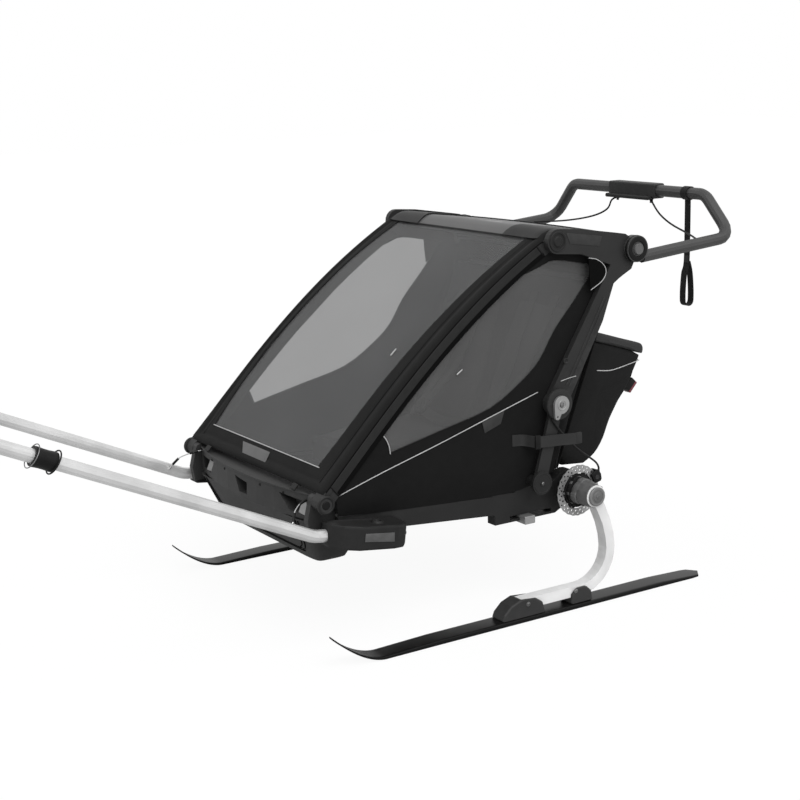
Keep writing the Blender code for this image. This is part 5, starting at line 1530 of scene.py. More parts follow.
@dataclass
class SeatBench:
    """Padded bench and backrest for two, with harnesses."""

    half: float = 0.270
    pad_middle: float = 0.134
    pad_half: float = 0.122
    strap_width: float = 0.026
    strap_thickness: float = 0.0016

    def build(self) -> None:
        """Make the pads, the apron and the harnesses."""
        for side in (1, -1):
            self._backrest(side)
            self._cushion(side)
        base = self._base()
        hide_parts("seat_bench")
        for side in (1, -1):
            self._harness(side)

    def _inflate(self, pad: bpy.types.Object, cap: float) -> None:
        """Swell a pad with a short cloth simulation, no point further than a cap.

        Args:
            pad: the pad, already remeshed.
            cap: furthest that a point may move.
        """
        rest = [vertex.co.copy() for vertex in pad.data.vertices]
        cloth = pad.modifiers.new("cloth", "CLOTH")
        cloth.settings.use_pressure = True
        cloth.settings.uniform_pressure_force = 4.0
        cloth.settings.effector_weights.gravity = 0.0
        cloth.point_cache.frame_end = 16
        scene = bpy.context.scene
        for number in range(1, 17):
            scene.frame_set(number)
        graph = bpy.context.evaluated_depsgraph_get()
        moved = [vertex.co.copy() for vertex in pad.evaluated_get(graph).data.vertices]
        pad.modifiers.remove(cloth)
        scene.frame_set(1)
        for vertex, start, end in zip(pad.data.vertices, rest, moved):
            step = end - start
            vertex.co = start + step * min(1.0, cap / max(step.length, 1e-9))

    def _pad(self, name: str, outline: Sequence[SidePoint], centre: SidePoint, middle: float, half: float,
             cap: float) -> bpy.types.Object:
        """One padded form with rounded ends.

        Args:
            name: the pad's name.
            outline: its side-view section.
            centre: middle of the section.
            middle: X of its middle.
            half: half its width.
            cap: how far it may swell.

        Returns:
            The pad.
        """
        stations = [(middle + x, size) for x, size in rounded_stations(half, 0.010, 0.013, 8)]
        pad = shell(name, outline, centre, stations)
        apply_modifier(pad, "REMESH", mode="VOXEL", voxel_size=0.006)
        self._inflate(pad, cap)
        apply_modifier(pad, "SMOOTH", factor=0.5, iterations=4)
        apply_modifier(pad, "SUBSURF", levels=1, render_levels=1)
        smooth(pad, 80)
        dress(pad, SEAT_CLOTH, "base")
        flatten(pad)
        return pad

    def _backrest(self, side: int) -> bpy.types.Object:
        """Upright pad of one seat."""
        face = Vector((BACK_HIGH.y - BACK_LOW.y, -(BACK_HIGH.x - BACK_LOW.x))).normalized()
        low, high = Vector((back_line(0.362), 0.362)), Vector((back_line(0.722), 0.722))
        thick = 0.022
        section = [low - face * 0.005, high - face * 0.005]
        section += [high + (high - low).normalized() * 0.012 - face * 0.013, high - face * thick]
        section += [low - face * (thick + 0.008), low - (high - low).normalized() * 0.006 - face * 0.015]
        route = smooth_route([*section, section[0]], 3)[:-1]
        centre = (low + high) / 2 - face * 0.013
        return self._pad(named("backrest_pad", side), [tuple(p) for p in route], tuple(centre),
                         side * self.pad_middle, self.pad_half, 0.006)

    def _cushion(self, side: int) -> bpy.types.Object:
        """Seat cushion of one seat."""
        section = [(-0.352, 0.322), (-0.345, 0.337), (-0.250, 0.346), (-0.120, 0.350), (-0.062, 0.352),
                   (-0.056, 0.330), (-0.150, 0.322), (-0.280, 0.320)]
        route = smooth_route([*section, section[0]], 3)[:-1]
        return self._pad(named("seat_pad", side), [tuple(p) for p in route], (-0.200, 0.334),
                         side * self.pad_middle, self.pad_half, 0.005)

    def _base(self) -> bpy.types.Object:
        """Stiff base and apron under the pads."""
        section = [(-0.366, 0.268), (-0.350, 0.266), (-0.343, 0.316), (-0.052, 0.316), (0.112, 0.740),
                   (0.100, 0.741), (-0.060, 0.330), (-0.352, 0.330), (-0.365, 0.318)]
        stations = rounded_stations(self.half + 0.006, 0.004, 0.012, 8)
        base = shell("seat_base", section, (-0.08, 0.335), stations[2:-2], (0.54, 1.2))
        round_edges(base, 0.003, 35)
        smooth(base, 40)
        dress(base, SEAT_TRIM, "base")
        flatten(base)
        return base

    def _harness(self, side: int) -> None:
        """Shoulder and lap straps of one seat, with a round buckle."""
        middle = side * self.pad_middle
        for number, offset in enumerate((-0.042, 0.042)):
            route = smooth_route([
                (middle + offset, back_line(0.700) - 0.034, 0.700),
                (middle + offset * 0.9, back_line(0.600) - 0.048, 0.600),
                (middle + offset * 0.6, back_line(0.500) - 0.060, 0.500),
                (middle + offset * 0.2, -0.110, 0.405)], 5)
            strap = ribbon(named(f"shoulder_strap_{number}", side), route, Vector((1, 0, 0)),
                           self.strap_width, self.strap_thickness, 24)
            dress(strap, HARNESS_WEBBING, "base", soft=True)
            lap = smooth_route([
                (middle + offset * 2.5, -0.060, 0.365), (middle + offset * 1.6, -0.105, 0.372),
                (middle + offset * 0.2, -0.120, 0.392)], 5)
            belt = ribbon(named(f"lap_strap_{number}", side), lap, Vector((0, 0.5, 1)),
                          self.strap_width, self.strap_thickness, 14)
            dress(belt, HARNESS_WEBBING, "base", soft=True)
        buckle = turned(named("harness_buckle", side), (middle, -0.118, 0.398), (0, -0.8, 0.6),
                        [(-0.006, 0), (-0.006, 0.021), (-0.003, 0.024), (0.003, 0.024), (0.006, 0.020),
                         (0.006, 0.009), (0.008, 0.008), (0.008, 0)], 24)
        dress(buckle, DARK_GREY, "base", soft=True)


@dataclass
class CargoBag:
    """Cargo bag behind the cabin, its lid, piping and red tag."""

    half: float = 0.290

    def build(self) -> None:
        """Make the bag and its lid."""
        self._body()
        self._lid()
        self._trim()

    def _section(self) -> list[SidePoint]:
        """The bag's side-view section: back, bottom, sagging rear and open top."""
        rear = smooth_route([
            (0.074, 0.300), (0.0985, 0.312), (0.1185, 0.3285), (0.1345, 0.3512), (0.1450, 0.3747),
            (0.1560, 0.3981), (0.1705, 0.4209), (0.1860, 0.4436), (0.2060, 0.4658), (0.2230, 0.4882),
            (0.2335, 0.512), (0.2440, 0.5303), (0.2520, 0.5480)], 2)
        front = [(back_line(z) + 0.0042, z) for z in (0.600, 0.54, 0.48, 0.42, 0.36)]
        return [*front, (-0.005, 0.332), (0.016, 0.305), *[tuple(point) for point in rear], (0.2300, 0.5600),
                (0.1800, 0.5780), (0.1300, 0.5930)]

    def _body(self) -> None:
        """Sagging cloth shell with rounded, piped edges."""
        section = self._section()
        stations = [(self.half + 0.004, 0.0), (self.half + 0.0035, 0.30), (self.half + 0.002, 0.62),
                    (self.half, 0.86), (self.half - 0.001, 0.945), (self.half - 0.005, 0.985),
                    (self.half - 0.014, 1.0)]
        inner = self.half - 0.014
        across = [(inner - 2 * inner * step / 14, 1.0) for step in range(1, 14)]
        stations += across + [(-x, size) for x, size in stations[::-1]]
        bag = shell("cargo_bag_shell", section, (0.115, 0.475), stations, (1.1, 0.62))
        for vertex in bag.data.vertices:
            y, z = vertex.co.y - SHIFT, vertex.co.z
            if y > back_line(z) + 0.03:
                sag = 0.004 * math.sin(vertex.co.x * 17.0 + z * 9.0) * eased((0.56 - z) / 0.15)
                vertex.co.y += sag * (1 - abs(vertex.co.x) / 0.30)
        smooth(bag, 55)
        dress(bag, BAG_CLOTH, "base")
        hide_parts("cargo_bag")
        flatten(bag)

    def _lid(self) -> None:
        """Soft lid with a rounded rear edge and a skirt."""
        section = smooth_route([
            (0.1030, 0.6130), (0.1100, 0.6205), (0.1500, 0.6090), (0.2050, 0.5915), (0.2480, 0.5785),
            (0.2600, 0.5715), (0.2640, 0.5610), (0.2615, 0.5510), (0.2560, 0.5500), (0.2300, 0.5600),
            (0.1700, 0.5790), (0.1180, 0.5950), (0.1040, 0.6010), (0.1030, 0.6130)], 2)[:-1]
        lid = shell("bag_lid_shell", [tuple(point) for point in section], (0.180, 0.586),
                    rounded_stations(self.half + 0.0055, 0.010, 0.014, 12), (0.6, 0.4))
        apply_modifier(lid, "SUBSURF", levels=1, render_levels=1)
        smooth(lid, 70)
        dress(lid, LID_CLOTH, "bag_lid")
        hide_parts("bag_lid")
        flatten(lid)

    def _trim(self) -> None:
        """Piping round the bag, and the red tag, whose shaded side is painted as a black block."""
        for side in (1, -1):
            route = smooth_route([(side * 0.2935, 0.1112, 0.5269), (side * 0.2940, 0.1546, 0.5222),
                                  (side * 0.2935, 0.2060, 0.5290), (side * 0.2905, 0.2463, 0.5351)], 6)
            self._piping(named("bag_piping", side), route)
        self._piping("bag_piping_rear", [(-0.284 + 0.568 * step / 24, 0.2482, 0.5351) for step in range(25)])
        face = Vector((0.72, -0.66)).normalized()
        seat = Vector((0.2190, 0.4800))
        upward = Vector((0.66, 0.72)).normalized()
        half = 0.016
        # Painted shadow: the black block stands for the shade on the tag's side; only its outer face is red.
        for name, near, far, finish in (
                ("bag_tag_shaded_side", -0.003, 0.0125, DEEP_BLACK), ("bag_red_tag", 0.0125, 0.0190, RED_REFLECTOR)):
            corners = [tuple(seat + face * reach + upward * rise)
                       for reach, rise in ((near, -half), (far, -half), (far, half), (near, half))]
            dress(plate(name, corners, 0.2660, 0.2870, 0.0012), finish, "base", soft=True)

    def _piping(self, name: str, route: Sequence[Sequence[float]]) -> None:
        """One reflective bead on the bag."""
        dress(tube(name, route, 0.0012), PIPING, "base", soft=True)


@dataclass
class Pillars:
    """Cloth sleeves over the front pillars."""

    inner: float = 0.2990
    outer: float = 0.3326
    corner: float = 0.38

    def build(self) -> None:
        """Make the sleeves and their trim."""
        for side in (1, -1):
            self._sleeve(side)
            self._trim(side)

    def _spot(self, side: int, turn: float, along: float, grow: float = 0.0) -> Point:
        """A place on a sleeve with soft corners.

        Args:
            side: 1 for left, -1 for right.
            turn: how far round the sleeve, as a share.
            along: distance along the pillar.
            grow: how far it stands out of the sleeve.

        Returns:
            The place.
        """
        half_x = (self.outer - self.inner) / 2
        half_z = PILLAR_HALF_DEPTH + 0.0007
        angle = math.tau * turn
        x = (self.inner + self.outer) / 2 + (half_x + grow) * squared(math.cos(angle), self.corner)
        return (side * x, *on_pillar(along, (half_z + grow) * squared(math.sin(angle), self.corner)))

    def _sleeve(self, side: int) -> None:
        """One sleeve."""
        def place(share_round: float, share_along: float) -> Point:
            return self._spot(side, share_round, 0.035 + 0.735 * share_along)

        sleeve = mapped_sheet(named("pillar_sleeve", side), 40, 60, place, (0.12, 0.73), closed=True)
        smooth(sleeve, 60)
        dress(sleeve, SLEEVE_CLOTH, "front_frame")

    def _trim(self, side: int) -> None:
        """A seam, a painted shade strip along the rear half of the sleeve's outer face, and a cuff at each
        end.
        """
        stations = [0.04 + 0.725 * step / 40 for step in range(41)]
        seam = [(side * (self.outer + 0.0002), *on_pillar(along, -0.0060)) for along in stations]
        dress(tube(named("sleeve_seam", side), seam, 0.0010, resolution=2), SHADOW_CLOTH, "front_frame")

        def strip(share_across: float, share_along: float) -> Point:
            above = -0.0160 + 0.0095 * share_across
            return (side * (self.outer + 0.0006), *on_pillar(0.038 + 0.730 * share_along, above))

        # Painted shade: a near-black strip darkens the rear half of the sleeve's outer face.
        shaded_strip = mapped_sheet(named("sleeve_painted_shade", side), 3, 50, strip, (0.01, 0.73))
        thicken(shaded_strip, 0.0010)
        dress(shaded_strip, SHADOW_CLOTH, "front_frame")
        for label, along in (("sleeve_cuff_low", 0.036), ("sleeve_cuff_high", 0.765)):
            ring = [self._spot(side, step / 24, along, 0.0004) for step in range(24)]
            cuff = tube(named(label, side), ring, 0.0013, closed=True, resolution=2)
            dress(cuff, EDGE_CLOTH, "front_frame")


@dataclass
class WristStrap:
    """Webbing wrist strap on the push bar."""

    x: float = 0.197
    width: float = 0.020
    drop: float = 0.286
    loop: float = 0.0135

    def build(self) -> None:
        """Make the strap, its collar and its stitching."""
        y, z = GRIP_HIGH
        collar_radius = PUSH_TUBE_RADIUS + 0.0014
        neck_z, low_z = z - 0.60 * self.drop, z - self.drop
        bend = [math.pi + math.pi * step / 8 for step in range(9)]
        loop_z = low_z + self.loop
        line = [(y, z - collar_radius), (y, z - 0.05), (y - 0.0015, neck_z),
                (y - self.loop * 0.7, neck_z - 0.030), (y - self.loop, low_z + 0.040)]
        line += [(y + self.loop * math.cos(angle), loop_z + self.loop * math.sin(angle)) for angle in bend]
        line += [(y + self.loop, low_z + 0.040), (y + self.loop * 0.7, neck_z - 0.030), (y + 0.0015, neck_z)]
        soft = smooth_route(self._placed(line), 4)
        strap = self._webbing("wrist_strap_webbing", soft, self.width, 0.0018, STRAP_WEBBING, 90)
        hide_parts("wrist_strap")
        turns = [math.tau * step / 32 for step in range(33)]
        ring = [(y + collar_radius * math.sin(turn), z - collar_radius * math.cos(turn)) for turn in turns]
        self._webbing("wrist_strap_collar", self._placed(ring), self.width + 0.002, 0.0020, STRAP_WEBBING, 32)
        stitch = self._placed([(y - 0.0022, neck_z + 0.014), (y - 0.0022, neck_z - 0.004)])
        self._webbing("wrist_strap_stitch", stitch, self.width - 0.004, 0.0016, HARNESS_WEBBING, 4)

    def _placed(self, line: Sequence[SidePoint]) -> list[Vector]:
        """Side-view points at the strap's own X."""
        return [Vector((self.x, y, z)) for y, z in line]

    def _webbing(self, name: str, route: Sequence[Vector], width: float, thickness: float, finish: Finish,
                 rows: int) -> bpy.types.Object:
        """One flat strap of the push bar, dressed."""
        return dress(ribbon(name, route, Vector((1, 0, 0)), width, thickness, rows), finish, "push_bar")


@dataclass
class SideParts:
    """Ways to make the small parts of one side."""

    side: int

    def slab(self, label: str, outline: Sequence[SidePoint], faces: SidePoint, finish: Finish, body: str,
             rounding: float = 0.0, segments: int = 2) -> bpy.types.Object:
        """A dressed plate between two distances from the trailer's middle."""
        low, high = sorted(self.side * face for face in faces)
        return dress(plate(named(label, self.side), outline, low, high, rounding, segments), finish, body)

    def cap(self, label: str, x: float, spot: Sequence[float], profile: Sequence[SidePoint], finish: Finish,
            body: str, sides: int = 36) -> bpy.types.Object:
        """A dressed turned part that faces outwards, from a foot at X = x on its side."""
        centre = (self.side * x, spot[0], spot[1])
        return dress(turned(named(label, self.side), centre, (self.side, 0, 0), profile, sides), finish, body)

    def bead(self, label: str, x: float, line: Sequence[Sequence[float]], radius: float, finish: Finish,
             body: str, resolution: int = 3) -> bpy.types.Object:
        """A dressed bead along side-view points, at one distance from the trailer's middle."""
        route = [(self.side * x, y, z) for y, z in line]
        return dress(tube(named(label, self.side), route, radius, resolution=resolution), finish, body)


def round_axle(angle: float, reach: float) -> SidePoint:
    """Side-view point at an angle round the axle, and a distance from it."""
    return AXLE[0] + reach * math.cos(angle), AXLE[1] + reach * math.sin(angle)


@dataclass
class SkiKit(SideParts):
    """Drilled disc, caliper, carrier, claw, ski, knob and bolts of one side."""

    disc_x: float = 0.3492
    disc_radius: float = 0.062
    ski_half: float = 0.027
    ski_rise: float = 0.070

    def build(self) -> None:
        self._disc()
        self._caliper()
        self._carrier()
        self._claw()
        self._ski()
        self._knob()
        for label, y, z in (("toe_bolt", -0.2003, 0.0421), ("heel_bolt", -0.0612, 0.0444)):
            self.cap(label, 0.4252, (y, z),
                     [(0, 0), (0, 0.0056), (0.0012, 0.0056), (0.0016, 0.0042), (0.0030, 0.0040),
                      (0.0036, 0.0034), (0.0036, 0.0020), (0.0022, 0.0018), (0.0022, 0)],
                     BOLT_STEEL, self.unit, 12)

    @property
    def unit(self) -> str:
        return named("ski_unit", self.side)

    def _ring(self, radius: Callable[[float], float], steps: int) -> list[SidePoint]:
        """Side-view points round the axle at a radius that may change with the angle."""
        angles = [math.tau * step / steps for step in range(steps)]
        return [round_axle(angle, radius(angle)) for angle in angles]

    def _disc(self) -> None:
        """Brake disc with two rows of holes and a waved rim."""
        low, high = sorted((self.side * self.disc_x, self.side * (self.disc_x + 0.002)))
        disc = plate(named("drilled_disc", self.side),
                     self._ring(lambda angle: self.disc_radius - 0.0006 + 0.0006 * math.cos(24 * angle), 144),
                     low, high)
        cutters = []
        for step in range(24):
            angle = math.tau * step / 24
            for radius, turn, size in ((0.0565, 0.0, 0.0022), (0.0495, math.tau / 48, 0.0024)):
                deselect()
                centre = at((low + high) / 2, *round_axle(angle + turn, radius))
                bpy.ops.mesh.primitive_cylinder_add(vertices=10, radius=size, depth=0.02, location=centre,
                                                    rotation=(0, math.pi / 2, 0))
                cutters.append(bpy.context.object)
        deselect()
        for cutter in cutters:
            cutter.select_set(True)
        bpy.context.view_layer.objects.active = cutters[0]
        bpy.ops.object.join()
        joined = bpy.context.object
        bore = plate("disc_bore", self._ring(lambda angle: 0.0432, 48), low - 0.01, high + 0.01)
        for cutter in (joined, bore):
            apply_modifier(disc, "BOOLEAN", operation="DIFFERENCE", object=cutter, solver="EXACT")
            bpy.data.objects.remove(cutter)
        smooth(disc, 35)
        dress(disc, DISC_STEEL, self.unit)
        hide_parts(named("brake_disc", self.side))

    def _caliper(self) -> None:
        """Small black caliper over the disc's rim, with a piston and the hose's sleeve, on the base."""
        body = [round_axle(math.radians(angle), reach) for angle, reach in (
            (12, 0.049), (12, 0.0655), (16, 0.0700), (26, 0.0725), (36, 0.0715), (41, 0.0670), (42, 0.049),
            (34, 0.0465), (20, 0.0465))]
        inner = self.slab("caliper_inner", body, (0.3375, 0.3475), DEEP_BLACK, "base", 0.0022)
        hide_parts(named("brake_caliper", self.side))
        self.slab("caliper_outer", body, (0.3525, 0.3585), DEEP_BLACK, "base", 0.0020)
        bridge = [*body[2:5], (0.0535, 0.3035), (0.0660, 0.2880), (0.0700, 0.2760)]
        self.slab("caliper_bridge", bridge, (0.3465, 0.3535), DEEP_BLACK, "base", 0.0010)
        self.cap("caliper_piston", 0.3583, round_axle(math.radians(26), 0.058),
                 [(0, 0), (0, 0.0058), (0.0010, 0.0056), (0.0014, 0.0046), (0.0008, 0.0036), (0.0008, 0)],
                 BLACK_METAL, "base", 24)
        sleeve = turned(named("hose_sleeve", self.side), (self.side * 0.3535, 0.0655, 0.2945), (0, 0.09, 1),
                        [(-0.003, 0), (-0.003, 0.0038), (0.0040, 0.0038), (0.0050, 0.0031), (0.0075, 0.0029),
                         (0.0075, 0)], 18)
        dress(sleeve, DEEP_BLACK, "base")

    def _carrier(self) -> None:
        """Black lobed carrier inside the disc, with six rivets."""
        lobes = self._ring(lambda angle: 0.0405 + 0.0050 * max(0.0, math.cos(6 * angle)) ** 0.6, 120)
        self.slab("disc_carrier", lobes, (0.3472, 0.3530), DEEP_BLACK, self.unit, 0.0006)
        notched = self._ring(lambda angle: 0.0372 - 0.0030 * max(0.0, math.cos(8 * angle)) ** 2, 96)
        self.slab("carrier_hub", notched, (0.3528, 0.3608), DEEP_BLACK, self.unit, 0.0010)
        for step in range(6):
            self.cap(f"disc_rivet_{step}", 0.3528, round_axle(math.tau * step / 6, 0.0432),
                     [(0, 0), (0, 0.0028), (0.0008, 0.0026), (0.0013, 0.0016), (0.0013, 0)],
                     BOLT_STEEL, self.unit, 12)

    def _claw(self) -> None:
        """Grey claw whose fingers hold the arm, with its pads and its sleeve."""
        fingers = self._ring(lambda angle: 0.0285 + 0.0050 * max(0.0, math.cos(3 * angle + 1.9)) ** 0.4, 96)
        self.slab("claw_fingers", fingers, (0.3606, 0.3792), CLAW_GREY, self.unit, 0.0022, 3)
        for step in range(3):
            self.cap(f"claw_pad_{step}", 0.3786, round_axle(math.tau * step / 3 - 0.633, 0.0255),
                     [(0, 0), (0, 0.0056), (0.0058, 0.0050), (0.0072, 0.0034), (0.0072, 0)],
                     CLAW_GREY, self.unit, 6)
        self.cap("claw_sleeve", 0.3790, AXLE,
                 [(-0.002, 0.0150), (-0.002, 0.0290), (0.006, 0.0302), (0.018, 0.0300), (0.022, 0.0288),
                  (0.037, 0.0284), (0.0388, 0.0262), (0.0388, 0.0150), (-0.002, 0.0150)],
                 CLAW_GREY, self.unit, 10)

    def _ski(self) -> None:
        """Ski with a rounded, turned-up tip and a rounded tail."""
        low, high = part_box(named("ski", self.side))
        middle, tip, tail = (low.x + high.x) / 2, low.y - SHIFT, high.y - SHIFT
        tip_share, tip_reach = 0.14, 0.127

        def place(share_round: float, share_along: float) -> Point:
            if share_along > 0.5:
                reach = tip_share * eased(share_along * 2) + (1 - tip_share) * max(0.0, share_along * 2 - 1)
            else:
                reach = tip_share * share_along * 2
            y = tip + (tail - tip) * reach
            front = min(1.0, (y - tip) / tip_reach)
            back = min(1.0, (tail - y) / 0.040)
            half = self.ski_half * (1 - (1 - front) ** 2.4) ** 0.5 * (1 - (1 - back) ** 2.6) ** 0.5
            bottom = self.ski_rise * (1 - front) ** 1.8
            thick = between(y, ((tip, 0.0035), (tip + tip_reach, 0.008), (-0.45, 0.012), (0.20, 0.012),
                                (tail, 0.006)))
            angle = math.tau * share_round
            return (middle + half * squared(math.cos(angle), 0.22), y,
                    bottom + thick / 2 + thick / 2 * squared(math.sin(angle), 0.40))

        ski = mapped_sheet(named("ski_shell", self.side), 28, 96, place, (0.12, 1.05), closed=True)
        smooth(ski, 40)
        dress(ski, SKI_TOP, self.unit)
        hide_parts(named("ski", self.side))

    def _knob(self) -> None:
        """Round knob at the arm's outer face, with a hex screw."""
        face_x = 0.4236
        self.cap("arm_knob", face_x, AXLE,
                 [(-0.006, 0.0150), (-0.006, 0.0222), (-0.001, 0.0226), (0.0008, 0.0214), (0.0012, 0.0180),
                  (0.0004, 0.0162), (-0.002, 0.0156), (-0.006, 0.0150)], KNOB_GREY, self.unit, 40)
        self.cap("arm_knob_face", face_x, AXLE,
                 [(-0.004, 0), (-0.004, 0.0160), (0.0000, 0.0158), (0.0004, 0.0120), (0.0014, 0.0112),
                  (0.0020, 0.0085), (0.0020, 0)], CLAW_GREY, self.unit, 40)
        self.cap("arm_screw", face_x + 0.0018, AXLE,
                 [(0, 0), (0, 0.0050), (0.0012, 0.0046), (0.0016, 0.0030), (0.0006, 0.0026), (0.0006, 0)],
                 BOLT_STEEL, self.unit, 6)


@dataclass
class FrameDetails(SideParts):
    """Caps, rings, ribs, screws and straps on the frame of one side."""

    def build(self) -> None:
        """Make the side's details."""
        self._caps()
        self._plate()
        self._post()
        self._strap_band()
        self._hub()

    def _caps(self) -> None:
        """Round pivot caps with rims, recesses and screws."""
        self.cap("top_pivot_cap", 0.3476, TOP_PIVOT,
                  [(-0.002, 0), (-0.002, 0.0240), (0.0016, 0.0238), (0.0026, 0.0228), (0.0026, 0.0190),
                   (0.0012, 0.0180), (0.0012, 0.0130), (0.0030, 0.0118), (0.0040, 0.0104), (0.0040, 0)],
                  MATT_BLACK, "upper_frame")
        self.cap("nose_pivot_rim", 0.3380, NOSE_PIVOT,
                  [(-0.003, 0.0150), (0.0012, 0.0150), (0.0022, 0.0160), (0.0026, 0.0180), (0.0020, 0.0198),
                   (0.0006, 0.0210), (-0.003, 0.0212), (-0.003, 0.0150)], MATT_BLACK, "base")
        self.cap("nose_pivot_boss", 0.3380, NOSE_PIVOT,
                  [(-0.002, 0), (-0.002, 0.0098), (0.0014, 0.0094), (0.0022, 0.0084), (0.0022, 0)],
                  DEEP_BLACK, "base")
        self.cap("strut_pivot_face", 0.3654, STRUT_PIVOT,
                  [(-0.001, 0.0240), (0.0006, 0.0240), (0.0010, 0.0224), (0.0002, 0.0210), (0.0002, 0.0080),
                   (0.0016, 0.0072), (0.0016, 0), (-0.001, 0), (-0.001, 0.0240)], MATT_BLACK, "base")
        self.cap("strut_pivot_bolt", 0.3666, STRUT_PIVOT,
                  [(0, 0), (0, 0.0046), (0.0016, 0.0044), (0.0024, 0.0032), (0.0008, 0.0028), (0.0008, 0)],
                  BOLT_STEEL, "base", 6)
        self.cap("fold_housing_rim", 0.3662, FOLD_JOINT,
                  [(-0.003, 0.0240), (0.0003, 0.0240), (0.0006, 0.0300), (0.0002, 0.0340), (-0.0012, 0.0364),
                   (-0.003, 0.0366), (-0.003, 0.0240)], DARK_GREY, "lower_struts")
        lever = named("fold_lever", self.side)
        self.cap("fold_lever_ring", 0.3736, FOLD_JOINT,
                  [(-0.001, 0.0098), (0.0010, 0.0100), (0.0016, 0.0112), (0.0010, 0.0126), (-0.001, 0.0128),
                   (-0.001, 0.0098)], LEVER_GREY, lever)
        self.cap("fold_lever_rivet", 0.3738, FOLD_JOINT,
                  [(-0.002, 0), (-0.002, 0.0055), (0.0006, 0.0052), (0.0014, 0.0036), (0.0014, 0)],
                  BOLT_STEEL, lever, 24)

    def _plate(self) -> None:
        """Bare badge place, and a piped arc beside the hub with painted shade of a recess inside it."""
        badge = ((-0.0241, 0.8730), (0.0815, 0.8571), (0.0726, 0.8347), (-0.0127, 0.8467))
        self.slab("bare_badge", badge, (0.3470, 0.3490), SLATE, "upper_frame", 0.0006)
        arc = [tuple(point) for point in smooth_route([
            (0.0418, 0.8096), (0.0661, 0.8039), (0.0870, 0.7891), (0.0931, 0.7710), (0.0810, 0.7522),
            (0.0482, 0.7345)], 5)]
        # Painted shade: a near-black sheet on the plate stands for the shade in a hollow that the plate
        # doesn't have.
        self.slab("hub_recess_painted_shade", [*arc, (0.0440, 0.7700)], (0.3470, 0.3482), SHADOW_CLOTH, "upper_frame")
        self.bead("hub_arc_piping", 0.3486, arc, 0.0010, PIPING, "upper_frame", 2)

    def _post(self) -> None:
        """Ribs and a screw along the rear post, with a short pale strip."""
        for label, across in (("post_rib_front", 0.0110), ("post_rib_rear", 0.0020)):
            line = [on_post(0.040 + 0.225 * step / 12, across) for step in range(13)]
            self.bead(label, 0.3480, line, 0.0017, DARK_GREY, "upper_frame")
        self.cap("post_screw", 0.3476, (-0.0267, 0.5762),
                 [(-0.001, 0), (-0.001, 0.0072), (0.0014, 0.0070), (0.0020, 0.0060), (0.0012, 0.0044),
                  (0.0004, 0.0034), (0.0004, 0)], MATT_BLACK, "upper_frame", 20)
        strip = smooth_route([(self.side * 0.3490, -0.0420, 0.5305), (self.side * 0.3490, -0.0190, 0.5345),
                              (self.side * 0.3488, 0.0026, 0.5368)], 4)
        dress(tube(named("post_pale_strip", self.side), strip, 0.0010), PIPING, "upper_frame")

    def _strap_band(self) -> None:
        """Rubber band round the lower strut, with its thicker end and its clip."""
        route = smooth_route([(self.side * x, y, z) for x, y, z in (
            (0.3300, -0.170, 0.4040), (0.3330, -0.140, 0.4015), (0.3610, -0.124, 0.4000),
            (0.3645, -0.100, 0.3985), (0.3648, -0.060, 0.3960), (0.3645, -0.030, 0.3935),
            (0.3620, 0.0040, 0.3905))], 5)
        band = ribbon(named("strut_band", self.side), route, Vector((0, 0, 1)), 0.0270, 0.0020, 50)
        dress(band, BAND_RUBBER, "lower_struts")
        end = ((-0.0080, 0.4060), (0.0080, 0.4045), (0.0085, 0.3780), (-0.0075, 0.3795))
        self.slab("strut_band_end", end, (0.3590, 0.3645), BAND_RUBBER, "lower_struts", 0.0010)
        clip = ((-0.1300, 0.4170), (-0.1150, 0.4160), (-0.1150, 0.3830), (-0.1300, 0.3840))
        self.slab("strut_band_clip", clip, (0.3625, 0.3670), DEEP_BLACK, "lower_struts", 0.0012)

    def _hub(self) -> None:
        """Rounded rim on the push bar's drum, and a ring round its button."""
        self.cap("hub_rim", 0.3618, HUB,
                  [(-0.008, 0.0170), (0.0008, 0.0172), (0.0022, 0.0185), (0.0026, 0.0230), (0.0016, 0.0280),
                   (-0.0020, 0.0312), (-0.0060, 0.0321), (-0.008, 0.0321), (-0.008, 0.0170)],
                  DEEP_BLACK, "push_bar", 40)
        self.cap("hub_button_rim", 0.3672, HUB,
                  [(-0.003, 0.0098), (0.0006, 0.0100), (0.0012, 0.0110), (0.0006, 0.0124), (-0.003, 0.0126),
                   (-0.003, 0.0098)], BUTTON_GREY, named("hub_button", self.side), 32)


